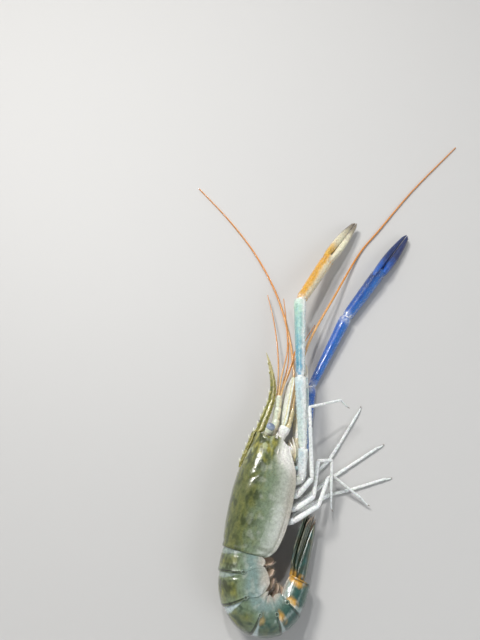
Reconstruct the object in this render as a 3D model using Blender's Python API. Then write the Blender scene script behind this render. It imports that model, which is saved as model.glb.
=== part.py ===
"""A giant river prawn at life size, lying on its left side with its tail curled under.

The script works in millimetres and writes metres. The world's origin is the middle of the
small flat on which the left side of the carapace rests, +Y runs towards the head, and the
right side of the animal faces up. Places on the body are given as (s, u, r): s runs forward
from the joint between carapace and tail, u towards the back, and r towards the right side.
"""

import math

import bmesh
import bpy
import numpy as np

MM = 0.001
GAP = 0.3

# The lie of the body
BODY_START = np.array([-13.65, -33.2, 17.5])
BODY_TURN = math.radians(14.0)
BODY_ROLL = math.radians(6.0)

# Carapace: station, height of the back, depth of the lower edge, half width
CARAPACE_STATIONS = (
    (0.0, 14.5, 13.0, 14.6),
    (2.0, 14.9, 17.0, 15.0),
    (5.5, 15.4, 20.0, 15.5),
    (13.0, 16.2, 22.6, 16.4),
    (24.0, 17.0, 24.4, 17.2),
    (36.0, 17.2, 25.0, 17.5),
    (48.0, 16.3, 24.8, 17.1),
    (58.0, 14.6, 23.6, 16.0),
    (66.0, 12.6, 21.2, 14.3),
    (72.0, 11.2, 18.4, 12.8),
    (76.5, 10.1, 16.2, 11.4),
)
FRONT_EDGE = (
    (-22.0, 70.0),
    (-17.0, 74.0),
    (-10.0, 78.0),
    (-4.5, 80.3),
    (0.0, 78.2),
    (4.0, 78.6),
    (9.0, 80.0),
)
FRONT_DRAWN_FROM = 45.0
CARAPACE_LOW = 0.70
CARAPACE_WALL = 1.7
CHEST_ROOF = 6.0
THORAX_STATIONS = (3.0, 5.5, 13.0, 24.0, 36.0, 48.0, 58.0, 66.0, 69.5)
FACE_S = 77.3
FACE_MIDDLE = -2.4
FACE_HALF_HEIGHT = 10.9
FACE_HALF_WIDTH = 10.1

# Tail segments: length, half width, height of the back, depth of the side plate
SEGMENTS = (
    (11.2, 15.2, 14.6, 14.5),
    (14.6, 16.6, 15.2, 17.0),
    (14.0, 16.5, 14.6, 14.5),
    (12.0, 15.5, 12.9, 12.0),
    (11.0, 13.0, 11.6, 9.0),
    (16.0, 9.8, 9.4, 5.8),
)
SEGMENT_TURNS = (7.0, 16.0, 52.0, 98.0, 138.0, 166.0)
SEGMENT_TWISTS = (0.0, 0.0, 0.0, 4.0, 10.0, 20.0)
FAN_TURN = 172.0
FAN_TWIST = 30.0
PLATE_WALL = 1.5
BELLY_DEPTH = 6.4
BELLY_STEP = 0.99
SEAM_SHIFTS = (0.0, -3.2, 3.4, 1.2, 1.0, 0.6, 0.0)

# Tail fan
TELSON_LENGTH = 38.0
FAN_LENGTH = 42.0
FAN_CAMBER = 0.011
FAN_SETTLE = 10.0
TELSON_ROWS = (
    (0.4, 4.6, 5.0),
    (4.0, 5.2, 5.0),
    (12.0, 4.8, 4.2),
    (22.0, 3.9, 3.0),
    (31.0, 2.7, 1.9),
    (36.0, 1.6, 1.0),
)
TELSON_SHAPE = (
    (1.0, 0.0),
    (0.92, 0.45),
    (0.62, 0.85),
    (0.0, 1.0),
    (-0.62, 0.85),
    (-0.92, 0.45),
    (-1.0, 0.0),
    (0.0, 0.0),
)
BLADE_SHAPE = (
    (1.0, 0.0),
    (0.6, 0.8),
    (0.12, 1.0),
    (-0.6, 0.8),
    (-1.0, 0.0),
    (-0.6, -0.9),
    (0.12, -0.9),
    (0.6, -0.9),
)
INNER_BLADE = (
    (0.0, 1.0, 4.2, 1.2),
    (0.1, 0.7, 5.4, 1.1),
    (0.3, 0.4, 8.2, 0.62),
    (0.55, 0.4, 9.6, 0.5),
    (0.8, 0.9, 9.2, 0.42),
    (0.94, 2.4, 7.4, 0.35),
)
OUTER_BLADE = (
    (0.0, 4.0, 7.0, 1.2),
    (0.1, 3.6, 8.0, 1.1),
    (0.3, 2.4, 10.4, 0.62),
    (0.55, 2.2, 12.4, 0.5),
    (0.8, 3.2, 12.2, 0.42),
    (0.94, 5.0, 10.0, 0.35),
)
INNER_LEVEL = -2.4
OUTER_LEVEL = -4.5

# Rostrum: station, upper edge, lower edge, half thickness
ROSTRUM_STATIONS = (
    (84.0, 10.6, 4.0, 1.7),
    (92.0, 9.4, 2.8, 1.5),
    (100.0, 7.8, 1.8, 1.3),
    (108.0, 6.6, 1.2, 1.15),
    (116.0, 6.9, 2.0, 1.0),
    (124.0, 8.7, 4.4, 0.85),
    (132.0, 11.4, 8.2, 0.7),
    (139.0, 14.1, 12.1, 0.55),
)
ROSTRUM_TIP = (145.5, 17.0)
CREST_START = 53.0
RIM_END = 80.6
CREST_HEIGHT = 1.9
UPPER_TEETH = (57.5, 63.5, 69.5, 75.5, 81.5, 87.5, 93.5, 99.5, 106.0, 113.5, 130.0, 137.0)
LOWER_TEETH = (94.0, 99.0, 104.0, 109.0, 114.0, 119.0, 124.0, 129.0, 134.0)

# Joints of the claw legs: the first two places are on the body, the rest in the world
CLAW_RIGHT_BODY = ((52.0, 5.6), (55.5, -29.2, 8.0), (76.0, -24.6, 13.8))
CLAW_RIGHT_WORLD = ((30.0, 86.2, 33.6), (34.5, 155.7, 22.0), (63.9, 203.6, 12.0), (94.1, 245.2, 7.0))
CLAW_LEFT_BODY = ((52.0, -5.6), (55.0, -28.6, -7.0), (76.0, -31.0, -9.2))
CLAW_LEFT_WORLD = ((41.8, 85.9, 4.6), (75.3, 147.3, 5.2), (109.9, 192.6, 6.4), (140.8, 233.1, 5.0))
CLAW_PIECES = ("coxa", "ischium", "merus", "carpus", "palm")
CLAW_RADII = {
    "coxa": (3.2, 2.9),
    "ischium": (2.7, 3.4),
    "merus": (3.1, 4.2),
    "carpus": (3.2, 5.0),
    "palm": (4.6, 5.9),
}
CLAW_SPINES = {"ischium": 2, "merus": 4, "carpus": 6, "palm": 5}
SPINE_HEIGHT = 1.7
RIGHT_CLAW_SLOTS = {"palm": "claw_orange", "dactyl": "claw_finger"}
LEFT_CLAW_SLOTS = {"merus": "claw_blue", "carpus": "claw_blue", "palm": "claw_blue", "dactyl": "claw_finger"}
FINGER_SIDE = 2.9
FINGER_BOW = 1.0
FIXED_FINGER_RADII = (2.6, 2.7, 2.4, 2.0, 1.35, 0.5)
MOVING_FINGER_RADII = (2.3, 2.7, 2.5, 2.0, 1.35, 0.5)

# Joints of the slim legs: root (station, side), then places on the body, then places in the world
LEG_RADII = (2.3, 2.0, 1.5, 1.3, 1.1, 0.9, 0.45)
SLIM_LEGS = {
    "leg_3_right": (
        (42.8, 5.8),
        ((44.0, -28.4, 7.2), (57.0, -35.0, 13.0), (91.0, -25.5, 20.5), (105.0, -22.5, 20.0)),
        ((61.3, 70.8, 24.0), (68.3, 65.8, 19.0)),
    ),
    "leg_4_right": (
        (33.8, 5.8),
        ((35.0, -28.8, 7.4), (46.0, -39.5, 8.6), (71.0, -38.0, 9.0), (74.0, -48.0, 8.0)),
        ((50.3, 0.6, 12.0), (51.3, -7.4, 9.0)),
    ),
    "leg_5_right": (
        (24.8, 5.8),
        ((27.0, -28.8, 9.0), (41.0, -43.5, 10.5), (62.0, -49.0, 2.0)),
        ((52.8, 17.1, 11.0), (73.8, 1.6, 5.5), (79.8, -3.4, 3.5)),
    ),
    "leg_3_left": (
        (42.8, -5.8),
        ((45.0, -27.6, -7.0),),
        ((28.8, 8.6, 3.0), (52.8, 29.6, 1.8), (61.8, 41.6, 1.6), (77.8, 64.6, 1.3), (81.8, 71.6, 0.8)),
    ),
    "leg_4_left": (
        (33.8, -5.8),
        ((35.0, -28.4, -7.0),),
        ((27.8, -1.4, 3.0), (53.8, 16.6, 1.8), (65.8, 23.6, 1.6), (90.8, 38.6, 1.3), (96.8, 41.6, 0.8)),
    ),
    "leg_5_left": (
        (24.8, -5.8),
        ((25.0, -28.2, -7.0),),
        ((24.8, -8.9, 3.0), (51.8, 4.6, 1.8), (65.8, 7.6, 1.6), (93.8, 15.6, 1.3), (99.8, 16.6, 0.8)),
    ),
}
SMALL_CLAW_ROOT = (60.8, 4.0)
SMALL_CLAW_PLACES = (
    (62.5, -26.0, 4.6),
    (74.0, -26.6, 5.4),
    (98.0, -24.5, 6.6),
    (122.0, -20.0, 8.5),
    (130.0, -17.5, 9.2),
)
SMALL_CLAW_RADII = (1.9, 1.7, 1.4, 1.25, 1.3, 1.2)
MOUTH_LEG_ROOT = (66.6, 3.6)
MOUTH_LEG_PLACES = ((68.6, -22.4, 3.8), (84.0, -20.6, 4.4), (99.0, -18.2, 4.8), (112.0, -16.0, 5.4))
MOUTH_LEG_RADII = (1.9, 2.0, 1.7, 1.4, 0.6)

# Eyes: stalk from its root to the cornea
EYE_ROOT = (3.6, 4.4)
EYE_END = (83.6, 1.6, 8.4)
EYE_STALK = ((0.0, 1.9), (0.35, 1.8), (0.75, 2.4), (1.0, 2.8))
CORNEA = ((0.0, 2.8), (1.0, 3.2), (2.3, 3.25), (3.6, 2.75), (4.7, 1.7))
CORNEA_LENGTH = 5.3

# Upper feelers: stalk places with radii, then the three lashes on each side
STALK_PLACES = (
    (77.6, -1.9, 2.9),
    (81.0, -2.4, 3.3),
    (91.5, -3.0, 4.0),
    (92.5, -2.9, 4.0),
    (93.5, -2.8, 4.0),
    (101.0, -2.2, 4.3),
    (102.0, -2.1, 4.3),
    (103.0, -2.0, 4.4),
    (111.0, -1.0, 4.8),
)
STALK_RADII = (2.2, 2.6, 2.6, 2.2, 2.5, 2.4, 2.0, 2.3, 2.2)
LASH_ROUTES = {
    1: (
        ((108.5, -0.4, 4.8), (125.0, 1.0, 6.5), (150.0, 1.0, 5.5), (178.0, 7.0, -1.0), (200.0, 12.0, -9.0)),
        ((108.5, -1.6, 5.6), (124.0, -2.6, 8.2), (144.0, -5.0, 7.0), (170.0, -7.0, 0.0), (190.0, -5.0, -8.0)),
        ((108.5, -1.6, 4.0), (122.0, -1.8, 3.4), (140.0, -2.5, 1.0), (160.0, 0.0, -5.0)),
    ),
    -1: (
        ((108.5, -0.4, 4.8), (125.0, 1.0, 7.5), (150.0, 6.0, 10.5), (178.0, 15.0, 13.5), (203.0, 26.0, 16.0)),
        (
            (108.5, -1.6, 5.6),
            (124.0, -3.4, 8.6),
            (146.0, -8.0, 11.0),
            (168.0, -14.0, 13.0),
            (186.0, -20.0, 14.0),
        ),
        ((108.5, -1.6, 4.0), (122.0, -3.6, 4.6), (138.0, -6.4, 7.4), (156.0, -7.0, 11.0)),
    ),
}
LASH_RADII = (0.62, 0.28)

# Lower feelers: base, scale and the long lash, whose far part lies on the floor
FEELER_BASE = ((77.6, -7.4, 5.4), (80.6, -8.2, 6.2), (84.5, -9.6, 8.4), (88.0, -9.8, 8.6))
FEELER_BASE_RADII = (2.5, 2.7, 3.8, 3.5)
SCALE_START = (88.0, -8.0, 8.4)
SCALE_TIP = (127.6, -7.2, 9.4)
SCALE_ROWS = (
    (88.3, 1.2, 1.6, 0.9),
    (91.0, 2.6, 3.2, 0.9),
    (97.0, 4.6, 4.2, 0.7),
    (106.0, 6.2, 4.2, 0.6),
    (115.0, 6.2, 4.0, 0.5),
    (121.5, 4.8, 3.8, 0.45),
    (126.0, 2.2, 3.2, 0.4),
)
LONG_LASH_STALK = ((88.3, -11.6, 8.6), (90.0, -11.9, 8.7), (99.0, -12.3, 9.0), (101.5, -12.4, 9.1))
LONG_LASH_STALK_RADII = (1.7, 2.2, 1.9, 1.25)
LONG_LASH_TIP = 0.4
LONG_LASH_ROUTES = {
    1: (
        (26.8, 76.6, 23.8),
        (39.8, 118.6, 17.5),
        (68.8, 170.6, 7.0),
        (94.8, 214.6, 1.4),
        (116.8, 241.6, 1.2),
        (155.8, 288.6, 1.0),
        (207.8, 343.6, 0.8),
    ),
    -1: (
        (26.3, 76.6, 4.2),
        (28.8, 100.6, 2.0),
        (25.8, 135.6, 1.4),
        (15.8, 175.6, 1.2),
        (-2.2, 215.6, 1.0),
        (-26.2, 252.6, 0.9),
        (-56.2, 290.6, 0.7),
    ),
}

# Swimming legs, from the first segment to the fifth
PADDLE_SWEEPS = (10.0, 23.0, 6.0, -27.0, -48.0)
PADDLE_LENGTHS = (15.0, 17.0, 16.5, 14.5, 10.5)
PADDLE_SIDE = 4.6
PADDLE_ROWS = ((0.0, 1.9, 1.3), (0.2, 2.0, 1.3), (0.4, 2.9, 0.7), (0.65, 3.4, 0.5), (0.88, 2.4, 0.4))
SECOND_PADDLE_ROWS = ((0.0, 1.3, 0.7), (0.3, 2.4, 0.55), (0.6, 2.9, 0.45), (0.9, 1.8, 0.4))

COLOURS = {
    "carapace_shell": (0.16, 0.20, 0.13, 1.0),
    "tail_shell": (0.17, 0.22, 0.19, 1.0),
    "rostrum_shell": (0.30, 0.30, 0.07, 1.0),
    "underside": (0.62, 0.56, 0.47, 1.0),
    "eye": (0.07, 0.08, 0.13, 1.0),
    "feeler": (0.78, 0.42, 0.15, 1.0),
    "head_limb": (0.70, 0.66, 0.42, 1.0),
    "claw_orange": (0.72, 0.33, 0.05, 1.0),
    "claw_blue": (0.03, 0.13, 0.45, 1.0),
    "claw_finger": (0.40, 0.36, 0.45, 1.0),
    "leg_white": (0.75, 0.76, 0.72, 1.0),
    "swimmeret": (0.62, 0.46, 0.38, 1.0),
    "tail_fan": (0.15, 0.13, 0.09, 1.0),
}


def unit(vector):
    vector = np.asarray(vector, float)
    return vector / np.linalg.norm(vector)


def body_frame():
    """Forward, back and right directions of the body as it lies."""
    level = np.array([-math.cos(BODY_TURN), math.sin(BODY_TURN), 0.0])
    up = np.array([0.0, 0.0, 1.0])
    forward = np.array([math.sin(BODY_TURN), math.cos(BODY_TURN), 0.0])
    back = level * math.cos(BODY_ROLL) + up * math.sin(BODY_ROLL)
    right = up * math.cos(BODY_ROLL) - level * math.sin(BODY_ROLL)
    return forward, back, right


FORWARD, BACK, RIGHT = body_frame()


def on_body(s, u, r):
    return BODY_START + s * FORWARD + u * BACK + r * RIGHT


def mirrored(places, side):
    """Places on the body, given for its right side, on the right (1) or the left (-1)."""
    return [on_body(s, u, side * r) for s, u, r in places]


def spread(table, column, value):
    """One column of a table of stations, read between its rows."""
    rows = np.array(table)
    return float(np.interp(value, rows[:, 0], rows[:, column]))


def clear_scene():
    for old in list(bpy.data.objects):
        bpy.data.objects.remove(old, do_unlink=True)


def material(slot):
    found = bpy.data.materials.get(slot)
    if found:
        return found
    made = bpy.data.materials.new(slot)
    made.use_nodes = True
    shader = made.node_tree.nodes["Principled BSDF"]
    shader.inputs["Base Color"].default_value = COLOURS[slot]
    shader.inputs["Roughness"].default_value = 0.12 if slot == "eye" else 0.35
    shader.inputs["Metallic"].default_value = 0.0
    return made


def add_mesh(name, skin, slot):
    """One object from (points, faces) in millimetres, its faces turned outwards."""
    points, faces = skin
    mesh = bpy.data.meshes.new(name)
    mesh.from_pydata([tuple(np.asarray(p) * MM) for p in points], [], faces)
    made = bpy.data.objects.new(name, mesh)
    bpy.context.scene.collection.objects.link(made)
    shape = bmesh.new()
    shape.from_mesh(mesh)
    bmesh.ops.recalc_face_normals(shape, faces=shape.faces)
    bmesh.ops.triangulate(shape, faces=shape.faces)
    shape.to_mesh(mesh)
    shape.free()
    mesh.materials.append(material(slot))
    mesh.shade_smooth()
    mesh.set_sharp_from_angle(angle=math.radians(50))
    return made


def largest_surface(made):
    """Leaves only the biggest closed surface of an object."""
    shape = bmesh.new()
    shape.from_mesh(made.data)
    bmesh.ops.remove_doubles(shape, verts=shape.verts, dist=2e-6)
    bmesh.ops.dissolve_degenerate(shape, edges=shape.edges, dist=2e-6)
    bmesh.ops.triangulate(shape, faces=shape.faces)
    left = set(shape.faces)
    groups = []
    while left:
        start = left.pop()
        group = {start}
        front = [start]
        while front:
            face = front.pop()
            for edge in face.edges:
                for other in edge.link_faces:
                    if other in left:
                        left.remove(other)
                        group.add(other)
                        front.append(other)
        groups.append(group)
    groups.sort(key=len)
    loose = [face for group in groups[:-1] for face in group]
    bmesh.ops.delete(shape, geom=loose, context="FACES")
    bmesh.ops.recalc_face_normals(shape, faces=shape.faces)
    shape.to_mesh(made.data)
    shape.free()


def combine(made, skins, slot, operation):
    """Joins skins to an object, or cuts them from it, in one step."""
    group = bpy.data.collections.new(made.name + "_pieces")
    pieces = []
    for skin in skins:
        piece = add_mesh(made.name + "_piece", skin, slot)
        bpy.context.scene.collection.objects.unlink(piece)
        group.objects.link(piece)
        pieces.append(piece)
    join = made.modifiers.new("join", "BOOLEAN")
    join.operation = operation
    join.operand_type = "COLLECTION"
    join.collection = group
    join.solver = "EXACT"
    bpy.context.view_layer.update()
    evaluated = made.evaluated_get(bpy.context.evaluated_depsgraph_get())
    result = bpy.data.meshes.new_from_object(evaluated)
    made.modifiers.remove(join)
    made.data = result
    for piece in pieces:
        bpy.data.objects.remove(piece, do_unlink=True)
    bpy.data.collections.remove(group)


def fuse(name, skins, slot, pocket=None):
    """The skins joined as one closed body, less a pocket where one is given."""
    made = add_mesh(name, skins[0], slot)
    if pocket:
        combine(made, [pocket], slot, "DIFFERENCE")
    combine(made, skins[1:], slot, "UNION")
    largest_surface(made)
    made.data.shade_smooth()
    made.data.set_sharp_from_angle(angle=math.radians(50))
    return made


def rest_on_floor(made):
    """Cuts a small flat where the object would dip below the floor."""
    shape = bmesh.new()
    shape.from_mesh(made.data)
    if min(vert.co.z for vert in shape.verts) < -1e-6:
        everything = shape.verts[:] + shape.edges[:] + shape.faces[:]
        cut = bmesh.ops.bisect_plane(
            shape, geom=everything, plane_co=(0, 0, 0), plane_no=(0, 0, -1), clear_outer=True, dist=1e-6
        )
        edges = [item for item in cut["geom_cut"] if isinstance(item, bmesh.types.BMEdge)]
        bmesh.ops.holes_fill(shape, edges=edges, sides=0)
        bmesh.ops.triangulate(shape, faces=shape.faces)
        bmesh.ops.recalc_face_normals(shape, faces=shape.faces)
        shape.to_mesh(made.data)
    shape.free()


def loft(rings, start_pole=None, end_pole=None):
    """A closed skin through rings of points, with flat ends or a pole at an end."""
    count = len(rings[0])
    points = [p for ring in rings for p in ring]
    faces = []
    for row in range(len(rings) - 1):
        a = row * count
        b = a + count
        for k in range(count):
            m = (k + 1) % count
            faces.append((a + k, a + m, b + m, b + k))
    last = (len(rings) - 1) * count
    if start_pole is None:
        faces.append(tuple(range(count)))
    else:
        points.append(start_pole)
        faces += [(k, (k + 1) % count, len(points) - 1) for k in range(count)]
    if end_pole is None:
        faces.append(tuple(range(last, last + count)))
    else:
        points.append(end_pole)
        faces += [(last + k, last + (k + 1) % count, len(points) - 1) for k in range(count)]
    return points, faces


def strip_loft(rings):
    """A loft whose rings run along an outer line and back along an inner one.

    The ends are strips between the two lines, so that neighbours close alike.
    """
    count = len(rings[0])
    half = count // 2
    points = [p for ring in rings for p in ring]
    faces = []
    for row in range(len(rings) - 1):
        a = row * count
        b = a + count
        for k in range(count):
            m = (k + 1) % count
            faces.append((a + k, a + m, b + m, b + k))
    for base in (0, (len(rings) - 1) * count):
        for k in range(half - 1):
            faces.append((base + k, base + k + 1, base + count - 2 - k, base + count - 1 - k))
    return points, faces


def side_frame(direction, hint):
    """Two directions across a line, the first as near the hint as can be."""
    along = unit(direction)
    first = unit(np.asarray(hint, float) - along * np.dot(hint, along))
    return first, np.cross(along, first)


def onto_plane(point, direction, plane_point, normal):
    """Slides a point along a direction until it lies on a plane."""
    slide = np.dot(np.asarray(plane_point) - point, normal) / np.dot(direction, normal)
    return point + direction * slide


def segment(start, end, stations, sides, hint, start_normal=None, end_normal=None, pole=None):
    """A straight limb piece from station rows (share of length, radius across, radius along the hint).

    An end may be cut on the slant by a plane through it, so that two pieces meet face to face.
    """
    start = np.asarray(start, float)
    end = np.asarray(end, float)
    along = unit(end - start)
    first, second = side_frame(along, hint)
    rings = []
    for row, (share, wide, tall) in enumerate(stations):
        centre = start + (end - start) * share
        ring = []
        for k in range(sides):
            angle = 2 * math.pi * (k + 0.5) / sides
            point = centre + first * (tall * math.cos(angle)) + second * (wide * math.sin(angle))
            if row == 0 and start_normal is not None:
                point = onto_plane(point, along, start, start_normal)
            if row == len(stations) - 1 and end_normal is not None:
                point = onto_plane(point, along, end, end_normal)
            ring.append(point)
        rings.append(ring)
    return loft(rings, None, pole)


def bend_normal(before, here, after):
    """The plane that halves the bend between two limb pieces."""
    return unit(unit(here - before) + unit(after - here))


def path_tube(path, radii, sides, hint, start_normal=None, end_pole=True):
    """A tube along a line of points, each with its own radius or (wide, tall) pair."""
    path = [np.asarray(p, float) for p in path]
    last = len(path) - 1
    rings = []
    first = None
    for i, here in enumerate(path):
        before = path[max(i - 1, 0)]
        after = path[min(i + 1, last)]
        if i in (0, last):
            along = unit(after - before)
            normal = along
        else:
            normal = bend_normal(before, here, after)
            along = unit(here - before)
        first, second = side_frame(normal, hint if first is None else first)
        wide, tall = radii[i] if isinstance(radii[i], tuple) else (radii[i], radii[i])
        ring = []
        for k in range(sides):
            angle = 2 * math.pi * (k + 0.5) / sides
            point = here + first * (tall * math.cos(angle)) + second * (wide * math.sin(angle))
            if i == 0 and start_normal is not None:
                point = onto_plane(point, along, here, start_normal)
            ring.append(point)
        rings.append(ring)
    pole = path[-1] + unit(path[-1] - path[-2]) * 0.4 if end_pole else None
    return loft(rings, None, pole)


def smooth_path(points, steps):
    """Points along a Catmull-Rom curve through the given ones."""
    points = [np.asarray(p, float) for p in points]
    padded = [2 * points[0] - points[1]] + points + [2 * points[-1] - points[-2]]
    out = []
    for i in range(1, len(padded) - 2):
        a, b, c, d = padded[i - 1 : i + 3]
        for k in range(steps):
            t = k / steps
            out.append(
                0.5
                * (
                    2 * b
                    + (c - a) * t
                    + (2 * a - 5 * b + 4 * c - d) * t * t
                    + (3 * b - a - 3 * c + d) * t ** 3
                )
            )
    out.append(points[-1])
    return out


def thorn(root, direction, lean, length, width, sides=4):
    """A small spine that tapers to its tip and leans, with its root sunk in."""
    direction = unit(direction)
    lean = unit(lean)
    first, second = side_frame(direction, lean)
    sunk = np.asarray(root) - direction * length * 0.35
    tip = np.asarray(root) + direction * length + lean * length * 0.5
    ring = []
    for k in range(sides):
        angle = 2 * math.pi * k / sides
        ring.append(sunk + first * width * 1.5 * math.cos(angle) + second * width * 0.9 * math.sin(angle))
    return loft([ring], None, tip)


def shell_ring(width, height, depth, wall, roof, low_width, place, steps=7):
    """A ring over the back from one lower edge to the other, and back along the inside."""
    outer = []
    inner = []
    bend = 0.56
    floor = 0.74
    for k in range(-steps, steps + 1):
        share = abs(k) / steps
        side = 1.0 if k >= 0 else -1.0
        if share <= bend:
            angle = share / bend * math.pi / 2
            across = width * math.sin(angle) ** 0.92
            up = height * math.cos(angle) ** 0.88 if share < bend else 0.0
        else:
            down = (share - bend) / (1 - bend)
            across = width + (low_width - width) * down ** 2.0
            up = -depth * down
        outer.append(place(side * across, up))
        low = low_width - wall
        if share <= floor:
            inner.append(place(side * low * share / floor, -roof))
        else:
            down = (share - floor) / (1 - floor)
            inner.append(place(side * (low + 0.25 * (1 - down)), -roof - (depth - roof) * down))
    return outer + inner[::-1]


def front_edge(u):
    """Station of the carapace's front edge: back at the eye, out at the spine, back again below."""
    return spread(FRONT_EDGE, 1, u)


def drawn_forward(s, u):
    """Where a point of a straight station goes, so that the last station follows the front edge."""
    last = CARAPACE_STATIONS[-1][0]
    share = max(0.0, (s - FRONT_DRAWN_FROM) / (last - FRONT_DRAWN_FROM))
    return s + (front_edge(u) - last) * share ** 2


def carapace():
    rings = []
    for s, height, depth, width in CARAPACE_STATIONS:
        low = width * CARAPACE_LOW

        def place(r, u, s=s):
            return on_body(drawn_forward(s, u), u, r)

        rings.append(shell_ring(width, height, depth, CARAPACE_WALL, depth - CHEST_ROOF, low, place))
    skins = [strip_loft(rings)]
    for side in (1, -1):
        root = on_body(78.0, -4.4, side * 10.6)
        skins.append(thorn(root - FORWARD * 0.6, FORWARD, RIGHT * side, 4.2, 1.0))
        root = on_body(68.5, -7.5, side * 13.2)
        skins.append(thorn(root, unit(FORWARD + RIGHT * side * 0.5), FORWARD, 3.2, 0.9))
    return fuse("carapace", skins, "carapace_shell", face_pocket())


def face_pocket():
    """What is cut from the carapace's front, down to the flat face that carries eyes and feelers."""
    rings = []
    for s in (FACE_S, 90.0):
        ring = []
        for k in range(16):
            angle = 2 * math.pi * k / 16
            across = math.copysign(abs(math.sin(angle)) ** 0.8, math.sin(angle))
            up = math.copysign(abs(math.cos(angle)) ** 0.8, math.cos(angle))
            ring.append(on_body(s, FACE_MIDDLE + FACE_HALF_HEIGHT * up, FACE_HALF_WIDTH * across))
        rings.append(ring)
    return loft(rings)


def chest_line(s):
    """Height of the underside of the chest, where the legs grow."""
    return -spread(CARAPACE_STATIONS, 2, s) + 2.2


def thorax():
    rings = []
    for s in THORAX_STATIONS:
        depth = spread(CARAPACE_STATIONS, 2, s)
        width = spread(CARAPACE_STATIONS, 3, s) * CARAPACE_LOW - CARAPACE_WALL - 0.5
        roof = -(depth - CHEST_ROOF) - GAP
        low = chest_line(s)
        ring = []
        for across, up in (
            (0.8, roof),
            (1.0, (roof + low) / 2),
            (0.86, low),
            (0.3, low),
            (0.0, low + 0.7),
            (-0.3, low),
            (-0.86, low),
            (-1.0, (roof + low) / 2),
            (-0.8, roof),
            (0.0, roof),
        ):
            ring.append(on_body(s, up, across * width))
        rings.append(ring)
    return add_mesh("thorax", loft(rings), "underside")


def rostrum():
    """The toothed blade: a low crest along the back, then the free blade beyond the eyes."""
    rings = []
    rows = []
    ridge_line = [(drawn_forward(row[0], row[1]), row[1]) for row in CARAPACE_STATIONS]
    for s in [CREST_START] + [row[0] for row in ridge_line if row[0] > CREST_START + 3.0] + [RIM_END]:
        low = spread(ridge_line, 1, s) + GAP + 0.05
        grow = (s - CREST_START) / (RIM_END - CREST_START)
        rows.append((s, low + 0.7 + CREST_HEIGHT * grow ** 0.5, low, 1.0 + 1.0 * grow))
    rows.append((81.4, 11.4, 6.0, 2.1))
    rows += list(ROSTRUM_STATIONS)
    for s, top, low, half in rows:
        ridge = low + (top - low) * 0.42
        ring = []
        for across, up in (
            (0.0, top),
            (0.55, top - (top - low) * 0.12),
            (0.7, ridge + (top - ridge) * 0.35),
            (1.0, ridge),
            (0.6, low + (ridge - low) * 0.45),
            (0.35, low),
            (-0.35, low),
            (-0.6, low + (ridge - low) * 0.45),
            (-1.0, ridge),
            (-0.7, ridge + (top - ridge) * 0.35),
            (-0.55, top - (top - low) * 0.12),
        ):
            ring.append(on_body(s, up, across * half))
        rings.append(ring)
    tip = on_body(ROSTRUM_TIP[0], ROSTRUM_TIP[1], 0.0)
    skins = [loft(rings, None, tip)]
    top_line = [(row[0], row[1]) for row in rows] + [ROSTRUM_TIP]
    low_line = [(row[0], row[2]) for row in rows] + [ROSTRUM_TIP]
    for s in UPPER_TEETH:
        u = spread(top_line, 1, s)
        size = 2.3 if s < 115 else 1.6
        skins.append(thorn(on_body(s, u - 0.35, 0.0), BACK + FORWARD * 0.5, FORWARD, size, size * 0.42))
    for s in LOWER_TEETH:
        u = spread(low_line, 1, s)
        skins.append(thorn(on_body(s, u + 0.3, 0.0), FORWARD * 0.5 - BACK, FORWARD, 1.6, 0.7))
    return fuse("rostrum", skins, "rostrum_shell")


def tail_lengths():
    """Where each tail segment starts along the line of side joints."""
    return np.concatenate([[0.0], np.cumsum([row[0] for row in SEGMENTS])])


STARTS = tail_lengths()


def tail_knots(values, last):
    middles = [(STARTS[i] + STARTS[i + 1]) / 2 for i in range(6)]
    places = [0.0] + middles + [STARTS[-1] + 12.0]
    return places, [0.0] + list(values) + [last]


def tail_angle(q):
    places, values = tail_knots(SEGMENT_TURNS, FAN_TURN)
    return math.radians(float(np.interp(q, places, values)))


def tail_twist(q):
    places, values = tail_knots(SEGMENT_TWISTS, FAN_TWIST)
    return math.radians(float(np.interp(q, places, values)))


def tail_line():
    """Fine points along the line of side joints, from the carapace to the fan."""
    step = 0.25
    places = [on_body(0.0, 0.0, 0.0)]
    for i in range(int(round((STARTS[-1] + 1.0) / step))):
        angle = tail_angle((i + 0.5) * step)
        heading = -FORWARD * math.cos(angle) - BACK * math.sin(angle)
        places.append(places[-1] + heading * step)
    return step, np.array(places)


LINE_STEP, LINE = tail_line()


def tail_frame(q):
    """Place, heading, back and right directions at a length along the tail."""
    share = max(q, 0.0) / LINE_STEP
    low = min(int(share), len(LINE) - 2)
    place = LINE[low] + (LINE[low + 1] - LINE[low]) * (share - low)
    angle = tail_angle(max(q, 0.0))
    twist = tail_twist(max(q, 0.0))
    heading = -FORWARD * math.cos(angle) - BACK * math.sin(angle)
    back = BACK * math.cos(angle) - FORWARD * math.sin(angle)
    turned = back * math.cos(twist) + RIGHT * math.sin(twist)
    right = RIGHT * math.cos(twist) - back * math.sin(twist)
    return place + heading * min(q, 0.0), heading, turned, right


def tail_size(q, column):
    places = [0.0] + [(STARTS[i] + STARTS[i + 1]) / 2 for i in range(6)] + [STARTS[-1]]
    sizes = [row[column] for row in SEGMENTS]
    first = {1: 14.3, 2: 14.2}.get(column, sizes[0])
    last = {1: 8.6, 2: 8.2}.get(column, sizes[-1])
    return float(np.interp(q, places, [first] + sizes + [last]))


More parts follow.
